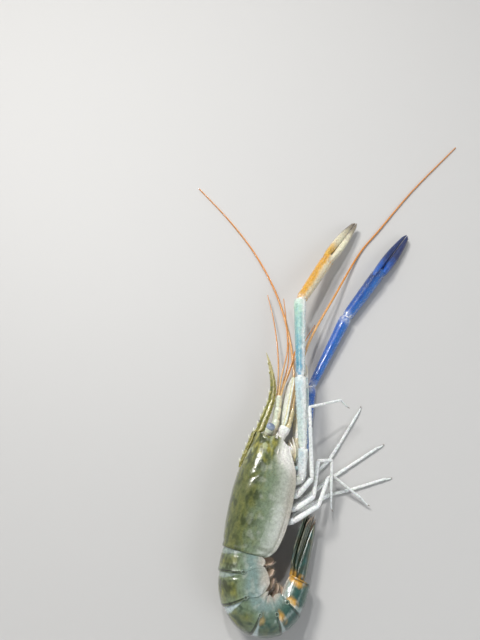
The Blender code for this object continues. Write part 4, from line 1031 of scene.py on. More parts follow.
def plate_tint(index, t, u, spot):
    """Olive patch above, blue-grey side plates, the pale band in front and the dark seam lines."""
    coarse = cloud(spot, 7.0, 2.0 + index)
    medium = cloud(spot, 2.4, 17.0 + index)
    length, _, _, depth = SEGMENTS[index]
    below = -u / depth + 0.16 * coarse
    colour = paint(BLUE_GREY, PLEURA_PINK, step_between(0.45, 0.98, below))
    colour = paint(colour, GREY_GREEN, step_between(-5.0, 2.0, u + 2.0 * coarse))
    olive = step_between(1.0, 9.0, u + 5.0 * coarse + 2.5 * medium) * hump(0.58, 0.36, t)
    colour = paint(colour, OLIVE, 0.95 * olive)
    colour = paint(colour, YELLOW_OLIVE, 0.5 * olive * step_between(0.0, 0.35, coarse - 0.5 * medium))
    dark = 0.75 * step_between(0.0, 0.5, medium - coarse)
    colour = paint(colour, DARK_OLIVE, dark * step_between(-2.0, 7.0, u))
    pale = 0.35 * step_between(0.15, 0.45, cloud(spot, 4.0, 51.0))
    colour = paint(colour, CLOUDY, pale * step_between(6.0, -2.0, u))
    rear = REAR_TEAL[index]
    colour = paint(colour, TEAL, 0.9 * rear * step_between(-7.0, 3.0, u + 2.0 * coarse))
    hinge = np.hypot(t * length - 1.2, 0.8 * (u - 2.6)) + 1.6 * coarse + 1.2 * medium
    colour = paint(colour, ORANGE_SPOT, JOINT_GLOW[index] * step_between(4.4, 0.4, hinge))
    colour = paint(colour, CREAM, 0.7 * JOINT_GLOW[index] * step_between(1.8, 0.0, hinge))
    if index == 5:
        root = np.hypot((1 - t) * length, 0.55 * u) + 1.6 * coarse + 1.4 * medium
        colour = paint(colour, ORANGE_SPOT, 0.9 * step_between(5.2, 1.2, root))
    reach = 0.30 * clip(u / 13.0) ** 0.6 + 0.03 * medium
    band = step_between(reach, reach - 0.07, t) * step_between(0.5, 3.0, u)
    colour = paint(colour, PALE_BAND, BAND_STRENGTH[index] * band)
    behind = hump(1.0, 0.035, t) * step_between(-5.0, 0.0, u)
    colour = paint(colour, SEAM, 0.9 * behind * step_between(0.965, 0.985, t))
    side_line = hump(0.0, 0.012, t - 0.02) * step_between(1.0, -2.0, u) * step_between(-13.0, -8.0, u)
    return paint(colour, SEAM, 0.5 * side_line)


def tail_plate(index):
    """One ring of the tail, whose rear edge laps over the next ring's front."""
    skin = Skin()
    length = SEGMENTS[index][0]
    depth = SEGMENTS[index][3]
    ahead = 2.6 / length if index else 3.4 / length
    t, share = sheet_grid(-ahead, 1.0 + 0.9 / length, 64, 161)
    lobe_at = clip((t + 0.02) / 1.04)
    lobe = 0.62 + 0.38 * np.sin(math.pi * (0.12 + 0.80 * lobe_at)) ** 0.7
    lobe = lobe * (1 - 0.35 * step_between(0.0, -ahead, t))
    q = STARTS[index] + length * t
    width = tail_size(q, 1)
    across, up = shell_line(share, width, tail_size(q, 2), depth * lobe, width * 0.86)
    low = step_between(-1.0, -7.0, up)
    grow = 0.968 + 0.042 * clip(t) ** 1.4 - 0.02 * step_between(0.0, -ahead, t)
    lapped = 1.018 if index == 1 else 0.985
    grow = grow * (1 - low) + lapped * low * (1 - 0.03 * step_between(0.12, -0.05, t) * (index != 1))
    shift = (SEAM_SHIFTS[index] * (1 - clip(t)) + SEAM_SHIFTS[index + 1] * clip(t)) * clip((-up - 2.0) / 6.0)
    band = step_between(0.2, 0.32, t) * step_between(0.0, 6.0, up) * 0.22
    lip = 0.22 * hump(1.0, 0.045, t) * step_between(-4.0, 0.0, up)
    rim = 0.25 * hump(1.0, 0.02, np.abs(share)) - 0.2 * hump(0.955, 0.02, np.abs(share))
    groove = -0.14 * hump(0.25, 0.03, t) * step_between(1.0, 5.0, up)
    spot = np.stack([q, up, across], -1)
    relief = band + lip + rim + groove + 0.08 * cloud(spot, 3.0) + 0.04 * cloud(spot, 1.2)
    points = on_tail(q + shift, up * grow, across * grow)
    points = points + grid_normals(points) * relief[..., None]
    skin.plate(points, plate_tint(index, t, up, spot), 0.7)
    place, heading, _, right = tail_frames(STARTS[index] + 0.2)
    reach = tail_size(STARTS[index], 1) * 0.99
    tones = [SEAM, SEAM, BLUE_GREY, GREY_GREEN, SEAM, SEAM, SEAM]
    for side in (1, -1) if index else ():
        skin.lathe(place + right * side * reach, right * side, SIDE_JOINT, tones, heading, 24)
    made = shell(f"tail_{index + 1}", 0.16, 0.5)
    skin.piece(f"tail_plate_{index + 1}", "tail_shell", made, f"abdomen_{index + 1}")


def belly():
    """The soft underside of the tail, with a cross bar under each ring."""
    skin = Skin()
    q, a = sheet_grid(-1.0, STARTS[-1] - 0.5, 240, 51)
    depth = flow(list(zip(np.concatenate([[-2.0], MIDDLES, [STARTS[-1]]]), BELLY_DEPTHS)), 1, q)
    width = tail_size(q, 1) * 0.92
    near = np.min(np.abs(q[..., None] - MIDDLES), axis=-1)
    bar = hump(0.0, 2.0, near) * step_between(1.0, 0.7, np.abs(a))
    fold = 0.35 * np.sin(q * 2.2) * (1 - bar)
    up = -depth - 0.9 * bar - fold * 0.5 + 1.0 * hump(0.0, 0.12, a) + 1.6 * step_between(0.8, 1.0, np.abs(a))
    across = a * width
    spot = np.stack([q, up, across], -1)
    colour = paint(SAND, PINK_GREY, 0.5 + 0.6 * cloud(spot, 4.0))
    colour = paint(colour, BROWN, 0.55 * step_between(0.3, 0.0, bar) * step_between(0.5, 1.0, np.abs(a)))
    colour = paint(colour, CLOUDY, 0.5 * bar)
    skin.sheet(on_tail(q, up, across), colour)
    skin.piece("belly", "underside", flesh("belly"))


def telson():
    """The middle blade of the tail fan, with two pairs of spines on its back."""
    skin = Skin()
    y, turn = ring_grid(0.2, 37.4, 90, 48)
    table = [(-0.1, 4.5, 4.8)] + list(TELSON_ROWS) + [(37.6, 0.5, 0.25)]
    half, top = flow(table, 1, y), flow(table, 2, y)
    cosine, sine = np.cos(turn), np.sin(turn)
    across = half * sine
    up = -1.0 + (top + 0.4) * np.where(cosine > 0, np.maximum(cosine, 0.0) ** 0.75, 0.12 * cosine)
    up = up - 0.35 * hump(0.0, 0.7, across) * (cosine > 0) * step_between(3.0, 8.0, y)
    spot = np.stack([across, y, up], -1)
    colour = paint(FAN_DARK, TEAL, 0.5 + 0.7 * cloud(spot, 4.0))
    spots = 0.7 * step_between(6.0, 1.0, y)
    colour = paint(colour, ORANGE_SPOT, spots * step_between(0.0, 0.5, cloud(spot, 2.5)))
    colour = paint(colour, RIDGE_PALE, 0.6 * hump(1.6, 0.5, np.abs(across)) * (cosine > 0))
    skin.hull(fan_points(y, across, up), colour)
    for y, r in TELSON_SPINES:
        for side in (1, -1):
            root = fan_points(y, side * r, flow(table, 2, y) * 0.62 - 1.0)
            tip = fan_points(y + 2.0, side * r, flow(table, 2, y) - 0.2)
            skin.thorns([root], tip - root, tip - root, 1.3, 0.3, RIDGE_PALE, 0.1, 8, CREAM)
    draw = np.random.default_rng(12)
    count = 160
    along = draw.uniform(31.0, 37.2, count)
    side = np.where(draw.random(count) < 0.5, 1.0, -1.0)
    roots = fan_points(along, side * flow(table, 1, along) * 0.95, -1.0)
    tips = fan_points(along + draw.uniform(1.5, 2.6, count), side * (flow(table, 1, along) + 1.6), -1.1)
    skin.hairs(roots, tips, 0.06, BROWN, BRISTLE)
    skin.hard("telson", "tail_fan", 0.18, 0.5)


def fan_blade(name, side, rows, length, level, seed):
    """One blade of the tail fan, with raised ribs and a fringe along its end."""
    skin = Skin()
    _, low, high, _ = rows[-1]
    table = list(rows) + [(0.975, low + 1.6, high - 1.6, 0.28), (0.997, low + 2.5, high - 2.5, 0.2)]
    t, turn = ring_grid(0.0, 0.997, 90, 96)
    inner, outer, thick = (flow(table, k, t) for k in (1, 2, 3))
    across = (inner + outer) / 2 + (outer - inner) / 2 * np.cos(turn)
    lens = bent(np.sin(turn), 0.55)
    wave = np.cos((across - RIB_START) * 2 * math.pi / RIB_PITCH)
    rib = 0.22 * wave * step_between(0.05, 0.3, t) * np.sign(lens)
    main = 0.45 * hump(4.4 if outer.max() > 10.5 else 3.4, 0.7, across) * (lens > 0)
    up = level + lens * thick + rib * 0.55 * np.abs(lens) + main
    y = GAP_EDGE + t * length
    spot = np.stack([across * side, y, up], -1)
    colour = paint(FAN_DARK, TEAL, 0.4 + 0.6 * cloud(spot, 5.0, seed))
    colour = paint(colour, RIDGE_PALE, 0.5 * step_between(0.3, 1.0, wave))
    colour = paint(colour, ORANGE_SPOT, 0.75 * step_between(0.16, 0.02, t + 0.05 * cloud(spot, 2.0)))
    colour = paint(colour, BROWN, 0.5 * step_between(0.86, 1.0, t))
    skin.hull(fan_points(y, side * across, up), colour)
    draw = np.random.default_rng(seed)
    count = 900
    edge = draw.uniform(0.0, 1.0, count)
    angle = (edge - 0.5) * math.pi * 1.02
    at = 0.8 + 0.2 * np.cos(angle)
    middle = (flow(table, 1, at) + flow(table, 2, at)) / 2
    reach = (flow(table, 2, at) - flow(table, 1, at)) / 2
    aside = np.sign(np.sin(angle))
    rim = middle + aside * reach * 0.97
    roots = fan_points(GAP_EDGE + (at - 0.004) * length, side * rim, level)
    long = draw.uniform(1.5, 2.6, count) * step_between(0.78, 0.9, at)
    tips_y = GAP_EDGE + at * length + long * np.cos(angle) + 0.4
    tips = fan_points(tips_y, side * (rim + 0.7 * long * np.sin(angle)), level)
    keep = long > 0.5
    skin.hairs(roots[keep], tips[keep], 0.055, BRISTLE, PALE_BRISTLE)
    skin.hard(name, "tail_fan", 0.2, 0.5)


def tail_fan():
    telson()
    for side, word in SIDES:
        fan_blade(f"uropod_inner_{word}", side, INNER_BLADE, FAN_LENGTH * 0.92, INNER_LEVEL, 40 + side)
        fan_blade(f"uropod_outer_{word}", side, OUTER_BLADE, FAN_LENGTH, OUTER_LEVEL, 50 + side)


def eye(side, word):
    """A stalk with a soft collar, and the glossy cornea on its end."""
    skin = Skin()
    base = on_body(FACE_S - 2.5, EYE_ROOT[0], side * EYE_ROOT[1])
    end = on_body(EYE_END[0], EYE_END[1], side * EYE_END[2])
    axis = unit(end - base)
    length = np.linalg.norm(end - base)
    t = np.linspace(0.0, 1.0, 24)
    radius = flow(EYE_STALK, 1, t) * 1.04
    profile = np.stack([t * length, radius], 1)
    profile = np.concatenate([profile, [(length + 0.35, 2.85), (length + 0.3, 2.4)]])
    tone = paint(CREAM, SCALE_GREEN, clip(profile[:, 0] / length))
    tone = paint(tone, BROWN, 0.5 * hump(length * 0.72, 0.4, profile[:, 0]))
    skin.lathe(base, axis, profile, tone, BACK, 40)
    skin.hard(f"eyestalk_{word}", "head_limb", 0.3, 0.3)
    ball = Skin()
    angle = np.linspace(0.12, math.pi * 0.94, 30)
    profile = np.stack([2.35 - 2.95 * np.cos(angle), EYE_RADIUS * np.sin(angle) ** 0.9], 1)
    profile = profile[profile[:, 0] > 0.1]
    tone = paint(EYE_BLUE, EYE_PALE, 0.75 * step_between(5.2, 1.0, profile[:, 0]))
    tone = paint(tone, BROWN, 0.6 * hump(0.2, 0.5, profile[:, 0]))
    ball.lathe(end, axis, profile, tone, BACK, 48)
    name = f"eye_{word}"
    cornea = surface(name, roughness=0.12, coat=1.0, scatter=0.0, bump=0.12, grain=6000.0, tone=0.15)
    ball.piece(name, "eye", cornea, name)


def feeler_tube(skin, path, thick, thin, ring_length, ring_depth, sides, power=1.0):
    """A long ringed feeler, whose rings are raised in its own surface."""
    length = np.sum(np.linalg.norm(np.diff(path, axis=0), axis=1))
    rings = max(int(length / ring_length), 8)
    line, run = even_path(path, rings * 3 + 1, 24)
    share = run / run[-1]
    radius = thick + (thin - thick) * share ** power
    swell = np.tile((1.0, 1.0 + ring_depth, 1.0 - ring_depth * 0.4), rings + 1)[: len(line)]
    radius = radius * swell
    hoops, _ = path_rings(line, radius, radius, sides, BACK)
    ring_tone = np.tile((0.0, 0.0, 0.35), rings + 1)[: len(line)]
    tone = paint(FEELER_CREAM, FEELER_ORANGE, clip(share * 2.2))
    tone = paint(tone, tone * 0.55, ring_tone)
    skin.hull(hoops, np.repeat(tone[:, None], sides, axis=1))


def antennule(side, word):
    """The upper feeler: a three-piece stalk and three thin lashes."""
    skin = Skin()
    joints = mirrored(STALK_JOINTS, side)
    tip_tint = paint(CREAM, WHITE, 0.4)
    above = (BACK * 0.8 + RIGHT * 0.3 * side, SCALE_GREEN)
    for a, b, size in zip(joints, joints[1:], STALK_SIZES):
        article(skin, a, b, size, size * 0.98, CREAM, tip_tint, 0.82, sides=24, aside=above)
    root = mirrored([STALK_SPINE], side)
    skin.thorns(root, FORWARD + RIGHT * side * 0.25, FORWARD, 7.5, 0.8, CREAM, 0.05, 10, WHITE)
    for route in LASH_ROUTES[side]:
        feeler_tube(skin, mirrored(route, side), *LASH_RADII, 0.7, 0.06, 7)
    skin.hard(f"antennule_{word}", "feeler", 0.25, 0.35)


def antenna(side, word):
    """The lower feeler: its base, the broad scale, and the long lash."""
    skin = Skin()
    places = mirrored(FEELER_JOINTS, side)
    article(skin, places[0], places[1], 2.9, 3.2, CLOUDY, CHEEK, 0.9, 1.05)
    article(skin, places[1], places[2], 3.5, 3.9, CHEEK, WHITE, 0.85, 1.1)
    root = on_body(87.0, -12.4, side * 10.6)
    skin.thorns([root], FORWARD, FORWARD, 3.4, 0.8, CHEEK, 0.1, 10, WHITE)
    skin.hard(f"antenna_base_{word}", "head_limb", 0.3, 0.35)
    antenna_scale(side, word)
    skin = Skin()
    joints = mirrored(LASH_JOINTS, side)
    for a, b, size in zip(joints, joints[1:], LASH_SIZES):
        article(skin, a, b, size, size * 0.92, CREAM, CREAM, 0.85, 1.06)
    route = mirrored([LONG_LASH_START], side) + [np.array(place) for place in LONG_LASH_ROUTES[side]]
    feeler_tube(skin, route, *LONG_LASH_RADII, 0.9, 0.035, 10, 0.8)
    skin.hard(f"antenna_{word}", "feeler", 0.22, 0.4)


def scale_line(s, side):
    """The middle of the lower feeler's scale."""
    start_s, start_u, start_r = SCALE_START
    return on_body(s, start_u + (s - start_s) * 0.02, side * (start_r + (s - start_s) * 0.01))


def antenna_scale(side, word):
    """A thin leaf with a firm outer edge, a rib along it, and long hairs inside and in front."""
    skin = Skin()
    wide_way = unit(RIGHT * side * 0.94 - BACK * 0.35)
    thick_way = unit(np.cross(wide_way, FORWARD))
    table = list(SCALE_ROWS) + [(SCALE_END, 0.9, 1.6, 0.3)]
    s, turn = ring_grid(SCALE_ROWS[0][0], SCALE_END, 80, 56)
    inner, outer, thick = (flow(table, k, s) for k in (1, 2, 3))
    cosine = np.cos(turn)
    across = np.where(cosine > 0, outer * cosine, inner * cosine)
    lens = bent(np.sin(turn), 0.5)
    rib = 0.3 * hump(outer * 0.55, 0.45, across) * (lens > 0) + 0.12 * np.cos(across * 2.6) * np.abs(lens)
    up = lens * thick * (0.8 + 0.4 * step_between(0.0, 1.0, cosine)) + rib
    points = scale_line(s, side) + wide_way * across[..., None] + thick_way * up[..., None]
    spot = np.stack([s, across, up], -1)
    colour = paint(SCALE_GREEN, WHITE, 0.5 + 0.5 * cloud(spot, 4.0))
    colour = paint(colour, YELLOW, 0.9 * hump(outer * 0.55, 0.7, across))
    colour = paint(colour, BLUE_GREY, 0.4 * step_between(0.4, 1.0, -cosine))
    skin.hull(points, colour)
    draw = np.random.default_rng(21)
    count = 700
    s = 93.0 + 34.0 * draw.random(count) ** 0.8
    inner = flow(table, 1, s)
    roots = scale_line(s, side) - wide_way * (inner * 0.97)[:, None]
    long = draw.uniform(2.0, 3.4, count)[:, None]
    lean = step_between(100.0, 127.0, s)[:, None]
    tips = roots + unit(FORWARD * (0.6 + lean) - wide_way * (1.0 - 0.5 * lean)) * long
    skin.hairs(roots, tips, 0.05, CLOUDY, PALE_BRISTLE)
    tip = on_body(126.6, -7.2, side * 11.2)
    skin.thorns([tip - FORWARD * 1.6], FORWARD, FORWARD, 2.2, 0.5, CHEEK, 0.05, 8, WHITE)
    skin.hard(f"antenna_scale_{word}", "head_limb", 0.28, 0.3)


def article(
    skin, start, end, near, far, tint, tip_tint, neck=0.8, flare=1.08, sides=18, rows=22, flat=1.0,
    aside=None, dome=0.3, close=0.0,
):
    """One rigid piece of a limb: narrow where it is hinged, swollen before its far end."""
    start, end = np.asarray(start, float), np.asarray(end, float)
    length = np.linalg.norm(end - start)
    t = np.linspace(0.0, 1.0, rows)
    size = near + (far - near) * t
    size = size * (1 - (1 - neck) * np.exp(-((t * length / (near * 0.7)) ** 2)))
    size = size * (1 + (flare - 1) * np.exp(-((((1 - t) * length - far * 0.9) / (far * 0.8)) ** 2)))
    size = size * (1 - close * step_between(0.8, 1.0, t))
    line = start + (end - start) * t[:, None]
    line, size = round_ends(line, size, 0.25, dome)
    rings, outs = path_rings(line, size * flat, size, sides, RIGHT)
    bumps = cloud(rings, 2.2) * 0.035 * near
    rings = rings + outs * bumps[..., None]
    share = clip(np.linspace(-0.1, 1.1, len(line)))[:, None]
    tone = paint(tint, tip_tint, share + 0.25 * cloud(rings, 3.0))
    if aside:
        way, aside_tint = aside
        facing = np.sum(outs * unit(way), axis=-1) + 0.25 * cloud(rings, 4.0, 5.0)
        tone = paint(tone, aside_tint, 0.9 * step_between(-0.1, 0.75, facing))
        ends = hump(0.0, 0.05, share) + (0.0 if close else hump(1.0, 0.05, share))
        tone = paint(tone, WHITE, 0.55 * ends * (0.6 + cloud(rings, 1.8, 3.0)))
    tone = paint(tone, tone * 0.55, 0.4 * step_between(0.15, 0.5, cloud(rings, 1.3, 7.0)))
    skin.hull(rings, tone)


def joint_skin(skin, place, radius, before, after):
    """The pale soft lump between two pieces of a limb, and the two knobs that it turns on."""
    way = unit(unit(after - place) + unit(place - before))
    angle = np.linspace(0.15, math.pi - 0.15, 9)
    profile = np.stack([-np.cos(angle) * radius * 1.25, np.sin(angle) ** 0.8 * radius * 0.86], 1)
    skin.lathe(place, way, profile, WHITE, RIGHT, 18)
    knob = np.stack([np.linspace(-0.3, 0.4, 5), (0.42, 0.42, 0.38, 0.28, 0.08)], 1) * radius
    aside, _ = side_frame(way, RIGHT)
    for side in (1, -1):
        skin.lathe(place + aside * side * radius * 0.82, aside * side, knob, WHITE, way, 14)


def limb(skin, joints, radii, tint, tip_tint, hairs, seed, claw_tip=True):
    """A slim leg in rigid pieces with soft joints, sparse hairs and a sharp last piece."""
    joints = [np.asarray(p, float) for p in joints]
    last = len(joints) - 2
    for i in range(len(joints) - 1):
        a, b = joints[i], joints[i + 1]
        way = unit(b - a)
        length = np.linalg.norm(b - a)
        near, far = radii[i], radii[i + 1] * 1.08
        trim = min(near * 0.35, length * 0.08)
        first = a + way * trim if i else a - way * 0.8
        if i == last and claw_tip:
            dactyl(skin, first, b, near * 0.9, radii[-1] * 0.5, tip_tint)
        else:
            article(skin, first, b - way * trim, near, far, tint, tip_tint, 0.82, 1.1, 14, 16)
        if i:
            joint_skin(skin, a, near * 0.95, joints[i - 1], b)
    draw = np.random.default_rng(seed)
    for i in range(1, len(joints) - 1):
        a, b = joints[i], joints[i + 1]
        count = int(hairs * np.linalg.norm(b - a))
        scatter_hairs(skin, a, b, radii[i], radii[i + 1], count, draw, tint)


def scatter_hairs(skin, a, b, near, far, count, draw, tint, length=(0.7, 1.6)):
    """Short stiff hairs over a limb piece, leaning towards its far end."""
    if count < 1:
        return
    way = unit(b - a)
    first, second = side_frame(way, RIGHT)
    t = draw.uniform(0.06, 0.96, count)
    angle = draw.uniform(0, 2 * math.pi, count)
    out = first * np.cos(angle)[:, None] + second * np.sin(angle)[:, None]
    size = near + (far - near) * t
    roots = a + (b - a) * t[:, None] + out * (size * 0.9)[:, None]
    long = draw.uniform(*length, count)[:, None]
    tips = roots + (out * 0.75 + way * draw.uniform(0.5, 1.2, count)[:, None]) * long
    skin.hairs(roots, tips, 0.04, tint, PALE_BRISTLE)


def dactyl(skin, start, end, near, far, tint):
    """The last piece of a walking leg: a slightly bent spike with a dark horny tip."""
    t = np.linspace(0.0, 1.0, 18)
    way = unit(end - start)
    first, _ = side_frame(way, np.cross(way, RIGHT))
    bow = np.linalg.norm(end - start) * 0.06
    line = start + (end - start) * t[:, None] + first * (bow * np.sin(math.pi * t))[:, None]
    size = far + (near - far) * (1 - t ** 1.3)
    rings, _ = path_rings(line, size, size, 12, RIGHT)
    tone = paint(tint, BROWN, step_between(0.7, 0.95, t))
    skin.hull(rings, np.repeat(tone[:, None], 12, axis=1), end + way * far)


def leg_start(root, side):
    """The place on the chest where a leg begins, as a list of one."""
    return [on_body(root[0], chest_line(root[0]) - 0.3, side * root[1])]


def walking_legs():
    """The slim legs, each in the place that its row of SLIM_LEGS gives."""
    for seed, (name, (root, places, world)) in enumerate(SLIM_LEGS.items()):
        skin = Skin()
        points = leg_start(root, 1) + mirrored(places, 1) + [np.array(place) for place in world]
        limb(skin, points, LEG_RADII, WHITE, paint(WHITE, PALE_BLUE, 0.3), 2.2, 60 + seed)
        skin.hard(name, "leg_white", 0.3, 0.35)


def small_claw_leg(side, word):
    """The slender first leg, which ends in a small pincer."""
    skin = Skin()
    points = leg_start(SMALL_CLAW_ROOT, side) + mirrored(SMALL_CLAW_PLACES, side)
    limb(skin, points, SMALL_CLAW_RADII, WHITE, PALE_BLUE, 2.0, 70 + side, False)
    start = on_body(129.0, -17.9, side * 9.1)
    for shift, out in ((0.55, 0.9), (-0.55, -0.5)):
        tip = on_body(139.5, -15.0 + out, side * 10.0)
        middle = (start + tip) / 2 + BACK * shift * 1.5
        line, run = even_path([start + BACK * shift * 0.9, middle, tip], 22)
        size = 0.85 - 0.6 * (run / run[-1]) ** 1.5
        rings, _ = path_rings(line, size, size, 10, BACK)
        skin.hull(rings, np.repeat(paint(WHITE, CREAM, run / run[-1])[:, None], 10, axis=1))
        scatter_hairs(skin, line[4], line[-1], 0.7, 0.3, 60, np.random.default_rng(90), WHITE, (0.8, 1.5))
    skin.hard(f"leg_1_{word}", "leg_white", 0.3, 0.35)


def maxilliped(side, word):
    """The outermost mouth leg, in three broad pieces fringed with hair."""
    skin = Skin()
    points = leg_start(MOUTH_LEG_ROOT, side) + mirrored(MOUTH_LEG_PLACES, side)
    limb(skin, points, MOUTH_LEG_RADII, WHITE, CREAM, 9.0, 80 + side)
    skin.hard(f"maxilliped_{word}", "head_limb", 0.3, 0.35)


def spine_rows(skin, start, end, near, far, seed, tint):
    """Rows of small spines along a piece of the claw leg, pointing out and forward."""
    draw = np.random.default_rng(seed)
    along = unit(end - start)
    reach = np.linalg.norm(end - start)
    first, second = side_frame(along, RIGHT)
    count = max(int(reach / SPINE_PITCH), 2)
    row, k = np.meshgrid(np.arange(SPINE_ROWS), np.arange(count), indexing="ij")
    row, k = row.ravel(), k.ravel()
    total = len(row)
    angle = 2 * math.pi * (row + 0.25) / SPINE_ROWS + draw.uniform(-0.14, 0.14, total)
    share = 0.06 + 0.9 * (k + 0.5 * (row % 2) + draw.uniform(-0.3, 0.3, total)) / count
    out = first * np.cos(angle)[:, None] + second * np.sin(angle)[:, None]
    radius = near + (far - near) * share
    roots = start + (end - start) * share[:, None] + out * (radius * 0.97)[:, None]
    size = SPINE_LENGTH * draw.uniform(0.55, 1.25, total) * np.where(row % 3 == 1, 1.25, 0.8)
    high = roots[:, 2] + out[:, 2] * size > 0.25
    roots, out, size = roots[high], out[high], size[high]
    skin.thorns(roots, out + along * 0.45, along, size, size * 0.3, tint, 0.5, 5, paint(tint, WHITE, 0.6))


CLAW_TONES = {
    "right": {
        "coxa": (WHITE, CLOUDY, WHITE),
        "ischium": (WHITE, PALE_BLUE, WHITE),
        "merus": (PALE_MERUS, PALE_BLUE, WHITE),
        "carpus": (TEAL_BLUE, PALE_GREEN, WHITE),
        "palm": (CLAW_YELLOW, CLAW_YELLOW, CLAW_CREAM),
    },
    "left": {
        "coxa": (WHITE, CLOUDY, WHITE),
        "ischium": (WHITE, PALE_BLUE, WHITE),
        "merus": (PALE_BLUE, COBALT, COBALT),
        "carpus": (COBALT, COBALT, DEEP_CYAN),
        "palm": (COBALT, NAVY, DEEP_CYAN),
    },
}
FINGER_TONES = {
    "right": (CLAW_CREAM, WARM_CREAM, CLAW_CREAM, TIP_GREY),
    "left": (COBALT, COBALT, NAVY, NAVY),
}
CLAW_SLOTS = {
    "right": {"palm": "claw_orange"},
    "left": {"merus": "claw_blue", "carpus": "claw_blue", "palm": "claw_blue"},
}
PALE_SIDE = np.array((0.85, -0.5, 0.15))


def claw(side, word, body_places, world_places):
    """The big second leg: five spiny pieces, the fixed finger, and the furry moving one."""
    joints = leg_start(body_places[0], 1) + mirrored(body_places[1:], 1)
    joints += [np.array(place) for place in world_places]
    slots = CLAW_SLOTS[word]
    for i, name in enumerate(CLAW_PIECES):
        skin = Skin()
        near, far = CLAW_RADII[name]
        a, b = joints[i], joints[i + 1]
        way = unit(b - a)
        tint, tip_tint, aside_tint = CLAW_TONES[word][name]
        first = a + way * (0.9 if i else -0.6)
        last = b - way * 0.9
        ends = dict(flare=1.0, dome=0.75, close=0.17) if name == "palm" else dict(flare=1.05)
        aside = (PALE_SIDE, aside_tint)
        article(skin, first, last, near, far, tint, tip_tint, 0.84, sides=44, rows=60, aside=aside, **ends)
        if i:
            joint_skin(skin, a, near * 0.9, joints[i - 1], b)
        if name != "coxa":
            spine_rows(skin, a, b, near, far, 30 + i, paint(tint, tip_tint, 0.6))
            draw = np.random.default_rng(100 + i)
            scatter_hairs(skin, a, b, near, far, int(np.linalg.norm(b - a) * 5), draw, tint, (0.5, 1.1))
        if name == "palm":
            finger(skin, joints, side, word, False)
        skin.hard(f"claw_{word}_{name}", slots.get(name, "leg_white"), 0.3, 0.7)
    skin = Skin()
    finger(skin, joints, side, word, True)
    skin.hard(f"claw_{word}_dactyl", "claw_finger", 0.45, 0.7)


def finger(skin, joints, side, word, moving):
    """One finger with teeth along its cutting edge."""
    along = unit(joints[-1] - joints[-2])
    across, _ = side_frame(along, np.cross(RIGHT, along))
    across = across * side
    length = np.linalg.norm(joints[-1] - joints[-2])
    start = joints[-2]
    if moving:
        start = start + across * (FINGER_SIDE + 0.1)
        path = [
            start - along * 0.5,
            start + along * 3.0 + across * 0.3,
            start + along * length * 0.35 + across * FINGER_BOW,
            start + along * length * 0.7 + across * FINGER_BOW * 0.3,
            start + along * length * 0.9 - across * FINGER_BOW,
            start + along * (length - 1.5) - across * FINGER_BOW * 2.0,
        ]
        radii = MOVING_FINGER_RADII
        blend = (0.0, 0.42)
    else:
        path = [
            start - along * 9.0 - across * 2.0,
            start + along * 1.5 - across * FINGER_SIDE,
            start + along * length * 0.35 - across * (FINGER_SIDE + FINGER_BOW * 0.5),
            start + along * length * 0.7 - across * (FINGER_SIDE - 0.4),
            start + along * length * 0.9 - across * 1.5,
            start + along * (length - 0.8) - across * 0.3,
        ]
        radii = FIXED_FINGER_RADII
        blend = (0.12, 0.5)
    line, run = even_path(path, 80)
    knots = np.concatenate([[0.0], np.cumsum([np.linalg.norm(b - a) for a, b in zip(path, path[1:])])])
    knots = knots / knots[-1]
    share = run / run[-1]
    size = flow(list(zip(knots, radii)), 1, share) * (1 - 0.22 * hump(0.86, 0.2, share))
    tall = size * (1 + 0.85 * (1 - step_between(*blend, share)))
    rings, outs = path_rings(line, size, tall, 40, RIGHT)
    inward = -across if moving else across
    to_middle = np.sum((line - joints[-2]) * -inward, axis=1) - 0.18
    toward = np.sum((rings - line[:, None]) * inward, axis=-1)
    stretch = np.maximum(to_middle / size, 1.0)[:, None] - 1.0
    stretch = stretch * step_between(0.06, 0.2, share)[:, None]
    rings = rings + (np.maximum(toward, 0.0) * stretch)[..., None] * inward
    rings = rings + outs * (0.06 * cloud(rings, 1.5))[..., None]
    fixed_base, moving_base, middle, tip = FINGER_TONES[word]
    base = moving_base if moving else fixed_base
    mottle = 0.25 * cloud(rings, 3.0)
    tone = paint(base, middle, step_between(0.08, 0.5, share)[:, None] + mottle)
    late = step_between(0.3, 0.5, share)[:, None]
    tone = paint(tone, tip, step_between(0.5, 0.95, share)[:, None] + mottle * late)
    skin.hull(rings, tone)
    spots = np.linspace(0.12, 0.95, 34)
    roots = np.stack([np.interp(spots, share, line[:, k]) for k in range(3)], 1)
    reach = np.interp(spots, share, np.maximum(size, to_middle))
    high = 0.32 + 0.8 * hump(0.18, 0.05, spots) + 0.6 * hump(0.3, 0.04, spots)
    skin.thorns(roots + inward * (reach * 0.95)[:, None], inward, along, high, high * 0.6, tip, 0.1, 8, CREAM)
    draw = np.random.default_rng(130 + moving)
    count = 2600 if moving else 500
    pick = draw.integers(3, 76, count)
    turn = draw.integers(0, 40, count)
    roots = rings[pick, turn]
    out = outs[pick, turn]
    long = draw.uniform(0.5, 0.95, count)[:, None]
    tips = roots + (out * 0.7 + along * 0.7 + draw.normal(0, 0.2, (count, 3))) * long
    skin.hairs(roots, tips, 0.045, tone[pick, turn] * 0.8, MAUVE if moving else PALE_BRISTLE)


